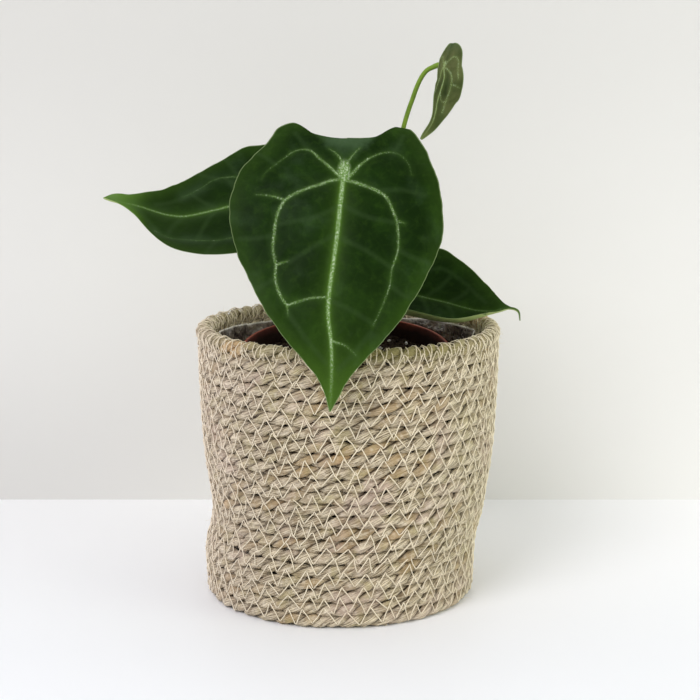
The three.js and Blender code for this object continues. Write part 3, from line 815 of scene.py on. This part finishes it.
bark = grainy_material("rootstock_bark", {"Roughness": 0.8, "Specular IOR Level": 0.3}, 260,
                       (0.07, 0.045, 0.02), (0.27, 0.22, 0.1), 0.0006)
new_piece("crown", bm, bark, "rootstock")


def curve(points):
    """Close places along a smooth curve through points, by the centripetal Catmull-Rom rule."""
    points = np.array(points, float)
    ends = np.concatenate([[2 * points[0] - points[1]], points, [2 * points[-1] - points[-2]]])
    share = np.linspace(0, 1, CURVE_STEPS, endpoint=False)[:, None]
    made = []
    for a, b, c, d in zip(ends, ends[1:], ends[2:], ends[3:]):
        t0, t1, t2 = (np.linalg.norm(q - p) ** 0.5 for p, q in ((a, b), (b, c), (c, d)))
        slope_b = ((b - a) / t0 - (c - a) / (t0 + t1) + (c - b) / t1) * t1
        slope_c = ((c - b) / t1 - (d - b) / (t1 + t2) + (d - c) / t2) * t1
        made.append(b + slope_b * share + (3 * (c - b) - 2 * slope_b - slope_c) * share ** 2
                    + (2 * (b - c) + slope_b + slope_c) * share ** 3)
    return np.concatenate(made + [points[-1:]])


def even(points, count):
    """The curve through points as a number of places at equal lengths along it."""
    line = curve(points)
    run = run_of(line)
    marks = np.linspace(0, run[-1], count)
    return np.stack([np.interp(marks, run, line[:, axis]) for axis in range(line.shape[1])], -1)


root_lines = []
for root in range(ROOTS):
    turn = (root + 0.3 * (root % 3)) / ROOTS * math.tau
    reach, depth = 24 + 4 * (root % 3), 42 + 9 * ((2 * root) % 3)
    route = []
    for share, drop in ((0, 0), (0.45, 5), (0.85, depth * 0.4), (1, depth)):
        bent = turn + share * 0.5
        route.append((CROWN_X + (3.2 - CROWN_X) * share + reach * share * math.cos(bent),
                      CROWN_Y + (10 - CROWN_Y) * share + reach * share * math.sin(bent),
                      ROOT_START - drop))
    root_lines.append(even(route, ROOT_POINTS))
root_radii = 2.0 - 0.9 * np.linspace(0, 1, ROOT_POINTS)
root_radii = root_radii + 0.12 * np.sin(np.arange(ROOT_POINTS) * 1.3)
bm = tubes(np.stack(root_lines), root_radii, 10, np.array([0.3, 0.2, 1.0]))
new_piece("roots", bm, bark)

papery = grainy_material("papery_sheath", {"Roughness": 0.7}, 330, (0.12, 0.075, 0.035),
                         (0.36, 0.25, 0.13), 0.0004)
share = np.linspace(-1, 1, 15)[:, None]
rise = np.linspace(0, 1, 22)[None]
for number, (start, spread, tall, flare) in enumerate(SHEATHS):
    turn = start + share * spread * (1 - rise ** 2.2) ** 0.8
    far = 6.9 + flare * rise ** 1.5 + 0.35 * np.sin(9 * share + 5 * rise) * rise
    points = np.stack([CROWN_X + far * np.cos(turn), CROWN_Y + far * np.sin(turn),
                       CROWN_TOP - 16 + tall * rise + 0 * share], -1)
    bm = grid_skin(points, {}, points[..., :2] / 100)
    bmesh.ops.solidify(bm, geom=bm.faces, thickness=SHEATH_THICKNESS * MM)
    new_piece(f"dry_sheath_{number + 1}", bm, papery)


# Leaf blades: leathery shields with a satin, almost velvety upper face and pale veins, thinner at
# the edge, with the veins standing out underneath. Each hangs from the end of its petiole.
CURL_FROM = 0.72
MIDRIB_TIP = 0.55
BULGE, BULGE_WIDTH = 0.9, 5.5
FAINT_BULGE, FAINT_WIDTH = 0.3, 3.0
FAINT_START, FAINT_END = 0.5, 0.3
MIDRIB_RIB, VEIN_RIB, VEIN_RIB_WIDTH = 0.45, 0.5, 0.8
FAR_FROM_VEINS = 90.0
MARGIN_POINTS = 2001

# The spine is in space. Margins and veins are in the flat blade, by distance along the spine from
# the joint and distance to the side. A vein begins with its widths at both ends, and a width below
# zero thins it out before its end.
FRONT_LEAF = {
    "rows": 270, "columns": 80, "midrib_width": 2.0, "thickness": 0.5,
    "face": (0, -1, 0.25), "cup": (-0.004, -0.004), "wave": (1, 3), "pale": 1.0,
    "tip": (0.72, 0.4),
    "spine": [(4, -34, 266), (3.6, -43, 258), (2.6, -58, 242), (0.8, -74, 211.3), (-1, -87, 182.4),
              (-2.7, -97, 153.5), (-4.3, -105, 126)],
    "plus": [(-22, 0.9), (-22.7, 11), (-25.5, 18.5), (-31.5, 24.5), (-33.7, 29.5), (-31, 36),
             (-21.5, 41), (-12, 48), (1, 55), (17, 58.5), (33, 57), (47, 52), (67, 41.5), (83, 31),
             (98, 17.5), (112, 5.5), (126, 0.3)],
    "minus": [(-22, 0.9), (-22.5, 9), (-24.5, 16), (-31.5, 22.5), (-35, 28), (-34, 34), (-25, 40),
              (-12, 45.5), (6, 50.5), (24, 53), (39, 51), (51, 46), (61, 42), (74, 35), (89, 24.5),
              (101, 14), (112, 7), (126, 0.3)],
    "midrib": [(0, 0), (18.5, 1), (35, 1.7), (51, 2.8), (66.5, 3.9), (77, 3.7), (89.5, 1.7),
               (100, 0.6), (126, 0)],
    "veins": [
        (1.2, 0.9, [(4.4, 0.4), (5.2, 6), (7.6, 12), (11, 20.5), (17, 29.5), (25, 33), (36, 34),
            (44, 34), (52, 32), (59, 31.8), (68.5, 28.3), (73, 24.8)]),
        (1.6, -0.3, [(4.4, 0), (5.4, -5.1), (6.7, -10), (9.5, -18), (13, -22.8), (20, -26.3),
            (26, -28.6), (40, -29.8), (52, -27), (59, -26.6), (70, -23.6), (81, -19.2)]),
        (1.5, -0.7, [(4, 0.5), (0.7, 4), (-2.8, 7.4), (-8, 13), (-14, 19), (-13.8, 25.2),
            (-9, 31.2), (-4.5, 36), (0.5, 40.5), (5, 42.5)]),
        (1.5, -0.7, [(4.4, -0.8), (0.4, -4.4), (-4.8, -8), (-10.2, -13), (-14.3, -19),
            (-15.9, -25.4), (-13.8, -29.7), (-8.5, -33.5), (-2, -35)]),
        (1.4, -0.2, [(0, 0), (-4.3, 0.6), (-8.7, 2.6), (-12.5, 5.5), (-14.5, 8.4)]),
        (1.4, 0.0, [(0, 0), (-7.7, -2.2), (-12.7, -5), (-16.4, -7.6)]),
        (0.9, -0.2, [(17, 29.5), (14.7, 36.4), (14, 45)]),
        (0.9, 0.1, [(52, 32), (49.6, 26)]),
        (0.9, 0.6, [(73, 24.8), (70.4, 18.4), (68.6, 12.4), (67.7, 4.5)]),
        (0.9, -0.3, [(73, 24.8), (78.5, 24)]),
        (0.9, -0.1, [(25, -28.6), (25.8, -33)]),
        (1.0, -0.2, [(90, 1.6), (92, -5.6), (96.5, -11.5)]),
    ],
    "faint": [[(36, 1), (42, -13), (46, -20), (50, -27)], [(50, 25), (39.5, 10), (34, 2)],
              [(69, 3.3), (75, -9.7), (80, -19)], [(18, 1), (24, -12), (26, -27)],
              [(19, 1), (26, 14), (30, 32)], [(85, -18), (96, -10), (104, -3)],
              [(77, 24), (90, 14), (101, 4)], [(40, -30), (44, -39), (45, -46)],
              [(59, -26.6), (64, -33), (66, -38)], [(36, 34), (38, 44), (38, 52)],
              [(59, 31.8), (63, 38), (65, 41)], [(-4.5, 36), (-10, 42), (-13, 46)],
              [(-14, 19), (-21, 24), (-26, 27)], [(-15.9, -25.4), (-22, -28), (-28, -30)],
              [(9.5, -18), (8, -30), (10, -42)]],
}
LEFT_LEAF = {
    "rows": 200, "columns": 56, "midrib_width": 1.2, "thickness": 0.5,
    "face": (0.1, -0.62, 0.78), "cup": (0.004, 0.006), "wave": (1, 3), "pale": 0.62,
    # The last two values below are painted sheen near the veins and painted shade over the whole
    # leaf.
    "tip": (0.8, 1.7), "painted_vein_sheen": 0.3, "painted_shade": 0.5,
    "spine": [(3, 12.5, 232.5), (-6.6, 10, 229.7), (-26.5, 6, 225.6), (-60.6, 0, 218.4),
              (-88.9, -6, 213.5), (-111.6, -12, 220.2), (-128.3, -16, 224.4)],
    "plus": [(-20, 0.9), (-21, 9), (-25, 18), (-26, 25), (-19, 32), (-7, 36), (8, 38), (18, 38.5),
             (26, 36.5), (35, 33.5), (45, 30), (55, 26.5), (69, 21), (77, 16), (83, 13), (88, 10),
             (93, 8), (98, 7), (102, 5.5), (107, 0.3)],
    "minus": [(-20, 0.9), (-21, 9), (-25, 18), (-26, 25), (-19, 32), (-5, 37), (15, 40), (30, 40),
              (41, 38.5), (50, 36.5), (62, 32.5), (70, 27), (79, 17), (85, 10.5), (92, 4.5),
              (98, 1.6), (107, 0.3)],
    "midrib": [(0, 0), (30, 0), (60, 0), (90, 0), (107, 0)],
    "veins": [
        (1.1, -0.5, [(0, 0), (5, 9), (12, 15.5), (26, 19.8), (38.5, 21.9), (47.5, 18.3),
            (60, 14.5)]),
        (1.1, -0.5, [(0, 0), (6, -10), (16, -18.5), (28, -23.5), (40, -24.6), (49.5, -23.4),
            (61, -20), (69.5, -18.5), (77, -15)]),
        (1.0, 0.5, [(0, 0), (-9, 10), (-13, 18), (-8, 27), (2, 32)]),
        (1.0, 0.5, [(0, 0), (-9, -10), (-13, -18), (-8, -28), (4, -34)]),
    ],
    "faint": [[(20, 0), (29, 11), (33, 21)], [(22, 0), (32, -12), (36, -24)],
              [(42, 0), (50, 9), (54, 16)], [(44, 0), (53, -11), (58, -20)],
              [(62, 0), (68, -9), (71, -18)], [(57, 15), (66, 11), (78, 5)],
              [(75, -15.5), (82, -8), (88, -2)], [(38, 22), (44, 27), (47, 30)],
              [(26, 20), (29, 29), (30, 35)], [(49, -23.4), (54, -30), (56, -34)],
              [(30, -24), (34, -33), (34, -39)]],
}
RIGHT_LEAF = {
    "rows": 150, "columns": 44, "midrib_width": 0.9, "thickness": 0.45,
    "face": (-0.05, -0.68, 0.73), "cup": (0.028, 0.012), "curl": (8.5, 0), "wave": (0.5, 3),
    "pale": 0.25, "tip": (0.86, 0.1),
    "spine": [(12, 15, 175), (20.4, 12, 173), (32.7, 8, 170.2), (45, 4, 167.4), (58.8, 0, 164.7),
              (75.3, -5, 161), (84.4, -9, 161.2), (94, -12.3, 163.5), (98.4, -13, 161.9),
              (99.6, -13, 155.9)],
    "plus": [(-13, 0.9), (-14, 7), (-17, 13), (-18, 19), (-12, 24), (0, 26.5), (15, 26), (28, 23),
             (38, 17), (46, 9.6), (50, 6.2), (55, 2.8), (60, 2.1), (65, 1), (70, 0.6),
             (76.5, 0.3)],
    "minus": [(-13, 0.9), (-14, 7), (-17, 14), (-18, 20), (-12, 27), (0, 30.5), (12, 32), (20, 32),
              (25, 30), (31, 27), (40, 22), (49, 16.7), (54, 13.3), (57, 11.2), (59, 9), (61, 6),
              (63, 3), (65, 1.1), (69, 0.7), (76.5, 0.3)],
    "midrib": [(0, 0), (20, 0), (45, 0), (76.5, 0)],
    "veins": [
        (1.0, 0.5, [(0, 0), (4, 7), (11, 13), (22, 15), (33, 12.5), (44, 7.5)]),
        (0.8, 0.4, [(0, 0), (-6, 7), (-9, 13), (-5, 20)]),
        (0.8, 0.4, [(0, 0), (-6, -8), (-9, -15), (-4, -23)]),
    ],
    "faint": [[(0, 0), (4, -8), (10, -16), (20, -20.5), (31, -17), (42, -11), (50, -6)],
              [(14, 0), (20, 8), (22, 15)], [(16, 0), (23, -10), (26, -18)],
              [(28, 0), (34, 6), (37, 11)], [(30, 0), (36, -8), (38, -13)]],
}
YOUNG_LEAF = {
    "rows": 110, "columns": 24, "midrib_width": 0.7, "thickness": 0.4,
    "face": (0.75, -0.62, 0.2), "cup": (0.01, 0.02), "fold": (0.12, 0.2), "wave": (0.2, 3),
    "pale": 0.85, "tip": (0.8, 0.2),
    "spine": [(61.3, 1.5, 309.6), (60.6, 2, 306), (57.2, 5, 294.3), (57.3, 6, 288.1),
              (56.1, 7, 283.2), (54.2, 8, 276.5), (52.7, 9, 268.5), (50.5, 9.5, 262),
              (45, 10, 254.4)],
    "plus": [(-13.6, 0.9), (-13.3, 2.6), (-12.2, 4.6), (-10.5, 5.9), (-8, 7.2), (-5, 7.6),
             (-2, 7.2), (1, 7.9), (4, 9.2), (8.6, 9.3), (11, 8.2), (15, 6.3), (20, 4.4), (26, 3.4),
             (33, 3), (40, 1.8), (44, 0.3)],
    "minus": [(-13.6, 0.9), (-14, 3), (-13, 6), (-10, 9.3), (-4, 11.5), (5, 12.9), (12, 14),
              (17, 13.8), (22, 11.7), (27, 8.2), (32, 5.2), (37, 3), (41, 1.6), (44, 0.3)],
    "midrib": [(0, 0), (15, 0), (30, 0), (44, 0)],
    "veins": [
        (0.8, 0.5, [(0, 0), (1.4, -2.1), (4.4, -4.8), (7.3, -5.7), (11.6, -6.2), (16.7, -6.1),
            (25.6, -4.9)]),
        (0.8, 0.5, [(0, 0), (-1.2, -1), (-4.5, -3.2), (-6.3, -5.7), (-3.8, -9.1), (6.5, -9.9)]),
        (0.6, 0.4, [(0, 0), (1.4, 2.1), (4.4, 4.8), (8, 5.8), (16, 5.6), (24, 4)]),
        (0.6, 0.4, [(0, 0), (-4, 3), (-6.3, 5.5), (-3.5, 8.5)]),
        (0.5, 0.3, [(9.5, -6), (9.8, -9), (10.5, -12)]),
        (0.5, 0.3, [(20, -5.8), (19.5, -3), (15, -0.5)]),
    ],
    "faint": [[(7, 0), (9, -3), (10, -6)], [(21, 0), (23, -3), (25, -5)],
              [(-6, -6), (-9, -7.5), (-11, -7)], [(25, -5), (31, -4), (37, -2)],
              [(-5, 0), (-9, -1), (-12, -1)]],
}


def leaf_surface(leaf):
    """A function that places the flat blade in space: it returns points and the way up there."""
    spine = curve(leaf["spine"])
    run = run_of(spine)
    run = run - run[2 * CURVE_STEPS]
    slope = unit(np.gradient(spine, run, axis=0))
    face = np.array(leaf["face"], float)

    def place(u, v, edge, row):
        spot = np.stack([np.interp(u, run, spine[:, axis]) for axis in range(3)], -1)
        ahead = unit(np.stack([np.interp(u, run, slope[:, axis]) for axis in range(3)], -1))
        normal = unit(face - (ahead @ face)[..., None] * ahead)
        across = np.cross(ahead, normal)
        cup, fold, curl = (np.where(v >= 0, *leaf.get(key, (0, 0)))
                           for key in ("cup", "fold", "curl"))
        bend = fold + cup * np.abs(v)
        out = (np.sin(bend) - np.sin(fold)) / cup
        rise = (np.cos(fold) - np.cos(bend)) / cup
        curled = (np.maximum(0, edge - CURL_FROM) / (1 - CURL_FROM)) ** 2
        rise = rise + curl * (1 - 0.97 * smooth(row, 0.45, 1.0)) * curled
        high, count = leaf["wave"]
        wave = np.sin(math.tau * count * row + np.where(v >= 0, 0, 1))
        rise = rise + high * edge ** 2 * wave
        return spot + (np.sign(v) * out)[..., None] * across + rise[..., None] * normal, normal

    return place


def vein_distance(u, v, wide, narrow, points):
    """Distance from each place in the blade to a vein's edge, below zero inside it."""
    line = even(points, max(8, int(run_of(np.array(points, float))[-1] / 1.2)))
    half = np.linspace(wide, narrow, len(line)) / 2
    nearest = np.full(u.shape, FAR_FROM_VEINS)
    for i in range(len(line) - 1):
        step = line[i + 1] - line[i]
        ahead = (u - line[i, 0]) * step[0] + (v - line[i, 1]) * step[1]
        share = np.clip(ahead / (step @ step), 0, 1)
        far = np.hypot(u - line[i, 0] - share * step[0], v - line[i, 1] - share * step[1])
        nearest = np.minimum(nearest, far - half[i] - share * (half[i + 1] - half[i]))
    return nearest


def near(distance, width):
    """1 inside a vein, falling off to almost 0 at twice a width from its edge."""
    return np.exp(-(np.maximum(distance, 0) / width) ** 2)


def make_blade(name, leaf, material):
    """A blade as one closed skin: the upper face, and the underside with its ribs."""
    place = leaf_surface(leaf)
    midrib_width = leaf["midrib_width"]
    scale = min(1.0, midrib_width / 2)
    row = np.linspace(0, 1, leaf["rows"] + 1)[None]
    over = np.linspace(-1, 1, 2 * leaf["columns"] + 1)[:, None]
    edge = np.abs(over)
    margins = [even(leaf[key], MARGIN_POINTS) for key in ("plus", "minus")]
    marks = np.linspace(0, 1, MARGIN_POINTS)
    reach = [[np.interp(row, marks, margin[:, axis]) for margin in margins] for axis in (0, 1)]
    margin_u, margin_v = (np.where(over >= 0, *sides) for sides in reach)
    length = run_of(margins[0])[-1] * row
    ragged = [0.3 * wobble(length, 27, 7 + side) + 0.1 * wobble(length, 11, 9 + side)
              for side in (0, 1)]
    margin_v = margin_v + scale * np.where(over >= 0, *ragged) * smooth(margin_v, 1, 6)
    first, last = leaf["plus"][0][0], leaf["plus"][-1][0]
    centre = first + (last - first) * row
    u = centre + (margin_u - centre) * edge
    v = np.sign(over) * margin_v * edge
    points, normal = place(u, v, edge + 0 * row, row + 0 * over)
    midrib = vein_distance(u, v, midrib_width, MIDRIB_TIP * midrib_width, leaf["midrib"])
    vein = midrib
    for wide, narrow, line in leaf["veins"]:
        vein = np.minimum(vein, vein_distance(u, v, wide, narrow, line))
    faint = FAR_FROM_VEINS
    for line in leaf["faint"]:
        faint = np.minimum(faint, vein_distance(u, v, FAINT_START, FAINT_END, line))
    hump = scale * (BULGE * (1 - near(vein, BULGE_WIDTH * scale)) - 0.5)
    hump = hump + scale * FAINT_BULGE * (1 - near(faint, FAINT_WIDTH * scale))
    hump = (hump + 0.12 * scale * wobble(u + 0.6 * v, 19, 5)) * (1 - edge ** 6)
    top = points + hump[..., None] * normal
    ends = np.minimum(1, 40 * row) * np.minimum(1, 40 * (1 - row))
    solid = np.sqrt(np.clip((1 - edge ** 10) * ends, 0, 1))
    ribs = MIDRIB_RIB * midrib_width * near(midrib, 0.5 * midrib_width)
    ribs = np.maximum(ribs, VEIN_RIB * scale * near(vein, VEIN_RIB_WIDTH * scale))
    bottom = top - ((leaf["thickness"] + ribs) * solid)[..., None] * normal
    skin = np.concatenate([top, bottom[::-1][1:]])

    def around(values):
        values = values + 0 * u
        return np.concatenate([values, values[::-1][1:]])

    under = np.concatenate([0 * u, 1 + 0 * u[1:]])
    under[-1] = 0
    tip_from, tip_share = leaf["tip"]
    layers = {"vein": vein, "faint": faint, "midrib": midrib, "edge": margin_v * (1 - edge),
              "row": row, "joint": np.hypot(0.7 * u + 1, 1.3 * v) / scale, "pale": leaf["pale"],
              "tip": tip_share * smooth(row, tip_from, 1), "painted_shade": leaf.get("painted_shade", 0),
              "painted_vein_sheen": leaf.get("painted_vein_sheen", 0) * near(vein, 4.5)}
    layers = {key: around(values) for key, values in layers.items()}
    flat_map = np.stack([around(u), around(v)], -1) / 250 + 0.4
    bm = grid_skin(skin, {**layers, "under": under}, flat_map)
    new_piece(name, bm, material, name)


# Colour and relief of a blade, from its distances to veins, edge and joint.
PAINTED_SHEEN, PALE_HALO, FAINT_VEIN = (0.052, 0.094, 0.044), (0.062, 0.12, 0.035), (0.036, 0.07, 0.022)
BRIGHT_VEIN, MARGIN_LINE = (0.46, 0.58, 0.38), (0.24, 0.33, 0.14)
BLADE_COLOURS = ("Dark", "Green", "Halo", "Vein", "Underside")
nodes, entry, leave = new_group(
    "blade_pattern", {"Vector": "Vector", "Halo Width": "Float", "Net Scale": "Float",
                      **{name: "Color" for name in BLADE_COLOURS}},
    {"Color": "Color", "Roughness": "Float", "Height": "Float"})
flat_map, halo = entry["Vector"], entry["Halo"]
vein, faint, midrib, edge, row, pale, tip, painted_shade, painted_vein_sheen, joint, under = (
    nodes.layer(name) for name in ("vein", "faint", "midrib", "edge", "row", "pale", "tip",
                                   "painted_shade", "painted_vein_sheen", "joint", "under"))

# The ground: blotches, mottles, a fine net, painted shade, a paler rim and tip, painted sheen.
blotch = nodes.noise(flat_map, 14)
colour = nodes.over(entry["Dark"], entry["Green"], blotch, 0.35, 0.7)
mottle = nodes.noise(flat_map, 42, 4.0, 0.6)
colour = nodes.over(colour, entry["Dark"], mottle, 0.42, 0.68, 0.0, 0.45)
colour = nodes.over(colour, halo, mottle, 0.5, 0.32, 0.0, 0.07)
net = nodes.add("TexVoronoi", {"Vector": flat_map, "Scale": entry["Net Scale"]},
                feature="DISTANCE_TO_EDGE").outputs["Distance"]
colour = nodes.over(colour, halo, net, 0.0, 0.12, 0.02, 0.0)
# Painted shade: a whole leaf is darkened by its own share, half for the left leaf.
colour = nodes.mix(painted_shade, colour, entry["Dark"])
rim = nodes.plus(nodes.ramp(edge, 0.0, 12.0, 0.13, 0.0), nodes.ramp(row, 0.45, 0.85, 0.0, 0.1))
colour = nodes.mix(rim, colour, halo)
colour = nodes.mix(tip, colour, halo)
colour = nodes.over(colour, entry["Vein"], tip, 0.9, 1.6, 0.0, 0.8)
# Painted sheen: grey patches at random and a grey band along the lobed end of the blade.
sheen_patches = nodes.noise(flat_map, 11, 5.0, 0.6)
top_band_sheen = nodes.ramp(nodes.scaled(sheen_patches, -0.25, row), -0.16, 0.02, 0.75, 0.0)
sheen_patches = nodes.plus(nodes.ramp(sheen_patches, 0.52, 0.74, 0.0, 0.2), top_band_sheen)
# Painted sheen: a grey sheen near the veins, on the leaves that have one (the left leaf).
painted_vein_sheen = nodes.times(painted_vein_sheen, nodes.ramp(blotch, 0.35, 0.6, 1.0, 0.3))
colour = nodes.mix(nodes.maths("MAXIMUM", sheen_patches, painted_vein_sheen), colour, PAINTED_SHEEN)

# The halos: a wide one along the midrib, a soft one along the veins, and the faint side veins.
near_rib = nodes.maths("DIVIDE", 0.72, nodes.plus(nodes.maths("MAXIMUM", midrib, 0.0), 0.8))
near_rib = nodes.maths("DIVIDE", near_rib, nodes.maths("DIVIDE", 2.4, entry["Halo Width"]))
near_rib = nodes.add("Clamp", {"Value": nodes.maths("SUBTRACT", near_rib, 0.05)}).outputs[0]
near_vein = nodes.maths("DIVIDE", 0.26, nodes.plus(nodes.maths("MAXIMUM", vein, 0.0), 0.5))
near_vein = nodes.add("Clamp", {"Value": nodes.maths("SUBTRACT", near_vein, 0.06)}).outputs[0]
colour = nodes.mix(nodes.times(near_vein, pale), colour, nodes.mix(0.5, halo, PALE_HALO))
glow = nodes.times(near_rib, nodes.times(pale, nodes.ramp(row, 0.45, 0.9, 1.0, 0.55)))
colour = nodes.mix(glow, colour, halo)
colour = nodes.over(colour, FAINT_VEIN, faint, -0.1, 2.2, 0.26, 0.0)

# The veins themselves, with ragged edges, and the star where they meet over the joint.
speck = nodes.noise(flat_map, 250, 3.0, 0.75)
uneven = nodes.scaled(speck, 2.4, -1.2)
rib_line = nodes.ramp(nodes.plus(midrib, uneven), -0.35, 0.35, 0.9, 0.0)
ragged = nodes.scaled(nodes.noise(flat_map, 480, 2.0, 0.6), 3.6, -1.8)
patchy = nodes.ramp(nodes.noise(flat_map, 55, 2.0), 0.36, 0.62, 0.5, 1.0)
vein_line = nodes.times(nodes.ramp(nodes.plus(vein, ragged), -0.5, 0.35, 0.85, 0.0), patchy)
star = nodes.ramp(nodes.plus(joint, uneven), 2.0, 5.6, 0.9, 0.0)
line = nodes.maths("MAXIMUM", nodes.maths("MAXIMUM", rib_line, vein_line), star)
line = nodes.times(nodes.times(line, nodes.ramp(row, 0.72, 0.98, 1.0, 0.1)), pale)
colour = nodes.mix(line, colour, nodes.over(entry["Vein"], BRIGHT_VEIN, speck, 0.47, 0.6))
colour = nodes.over(colour, MARGIN_LINE, edge, 0.15, 0.7, 0.75, 0.0)
back = nodes.mix(nodes.times(line, 0.6), entry["Underside"], entry["Vein"])
nodes.put(nodes.mix(under, colour, back), leave["Color"])
fine = nodes.noise(flat_map, 420, 2.0)
nodes.put(nodes.ramp(fine, 0.3, 0.7, 0.4, 0.55), leave["Roughness"])
relief = nodes.scaled(nodes.ramp(net, 0.0, 0.2), 0.5, nodes.times(fine, 0.35))
nodes.put(relief, leave["Height"])
blade_pattern = nodes.tree


def blade_material(name, halo_width, net_scale, *colours):
    """A blade's finish: its colours are in the order of BLADE_COLOURS."""
    material, nodes, shader = new_material(name, {"Specular IOR Level": 0.04})
    values = {"Vector": nodes.place("UV"), "Halo Width": halo_width, "Net Scale": net_scale}
    values.update(zip(BLADE_COLOURS, colours))
    pattern = nodes.add("Group", values, node_tree=blade_pattern).outputs
    nodes.put(pattern["Roughness"], shader.inputs["Roughness"])
    finish(nodes, shader, pattern["Color"], pattern["Height"], 0.00012)
    return material


grown = blade_material("grown_blade", 2.4, 36, (0.0046, 0.016, 0.0013), (0.009, 0.028, 0.0026),
                       (0.072, 0.155, 0.017), (0.12, 0.225, 0.05), (0.4, 0.5, 0.19))
bronze = blade_material("young_blade", 1.0, 90, (0.022, 0.035, 0.01), (0.108, 0.12, 0.048),
                        (0.2, 0.245, 0.07), (0.26, 0.34, 0.12), (0.13, 0.15, 0.06))
make_blade("blade_front", FRONT_LEAF, grown)
make_blade("blade_left", LEFT_LEAF, grown)
make_blade("blade_right", RIGHT_LEAF, grown)
make_blade("blade_young", YOUNG_LEAF, bronze)


# Petioles: round juicy stalks that rise from the crown. Each ends in a slightly thicker joint that
# meets its blade from below; the young one is slimmer.
# After the leaf, each has its radius, the side that its seam is turned away from, and its route.
SEAM_ASIDE, SEAM_ASIDE_YOUNG = (1.0, -0.2, 0.1), (0.9, -0.35, 0.1)
PETIOLES = {
    "petiole_front": (FRONT_LEAF, 1.9, SEAM_ASIDE, [
        (8, 1, 133), (6, -4, 148), (3, -17, 180), (1, -31, 214), (1.5, -44, 234),
        (2.3, -52.5, 239.5)]),
    "petiole_left": (LEFT_LEAF, 1.9, SEAM_ASIDE, [
        (4.5, 7, 133), (1, 8.5, 148), (-9, 13, 182), (-19, 15, 208), (-25.5, 12, 219)]),
    "petiole_right": (RIGHT_LEAF, 1.9, SEAM_ASIDE, [
        (15.5, 7, 133), (20, 9, 147), (27, 14, 158), (32, 13.5, 164.5)]),
    "petiole_young": (YOUNG_LEAF, 1.4, SEAM_ASIDE_YOUNG, [
        (11, 11, 133), (12.5, 14, 152), (23, 20, 205), (35.8, 14, 262), (38.2, 14, 270.2),
        (40.6, 13.5, 277.1), (42.6, 13, 282.8), (45.3, 12.3, 288.5), (48.1, 11.5, 292.1),
        (51, 10.5, 293.7)]),
}
PETIOLE_POINTS = 110
PETIOLE_SIDES = 16
STALK_DARK, STALK_LIGHT = (0.09, 0.165, 0.013), (0.17, 0.27, 0.026)
STALK_FOOT, STALK_TOP = (0.2, 0.13, 0.06), (0.2, 0.33, 0.035)

stalk, nodes, shader = new_material("petiole_skin", {"Roughness": 0.38, "Specular IOR Level": 0.2})
colour, relief = grained(nodes, 210, STALK_DARK, STALK_LIGHT)
along = nodes.layer("tone")
colour = nodes.over(colour, STALK_FOOT, along, 0.0, 0.12, 0.7, 0.0)
colour = nodes.over(colour, STALK_TOP, along, 0.7, 1.0, 0.0, 0.7)
finish(nodes, shader, colour, relief, 0.0002)

joint_place = np.zeros((1,))
share = np.linspace(0, 1, PETIOLE_POINTS)
for name, (leaf, thick, aside, route) in PETIOLES.items():
    joint, normal = (value[0] for value in leaf_surface(leaf)(*[joint_place] * 4))
    route = route + [tuple(joint - normal * (1.3 + 1.5 * thick)), tuple(joint - normal * 0.9)]
    line = even(route, PETIOLE_POINTS)
    run = run_of(line)
    thicker = 0.28 * np.exp(-((run[-1] - run) / 7) ** 2) + 0.2 * np.exp(-(run / 16) ** 2)
    radii = thick * (1 - 0.08 * share + thicker)
    bm = tubes(line[None], radii, PETIOLE_SIDES, np.array(aside), share)
    new_piece(name, bm, stalk, name)
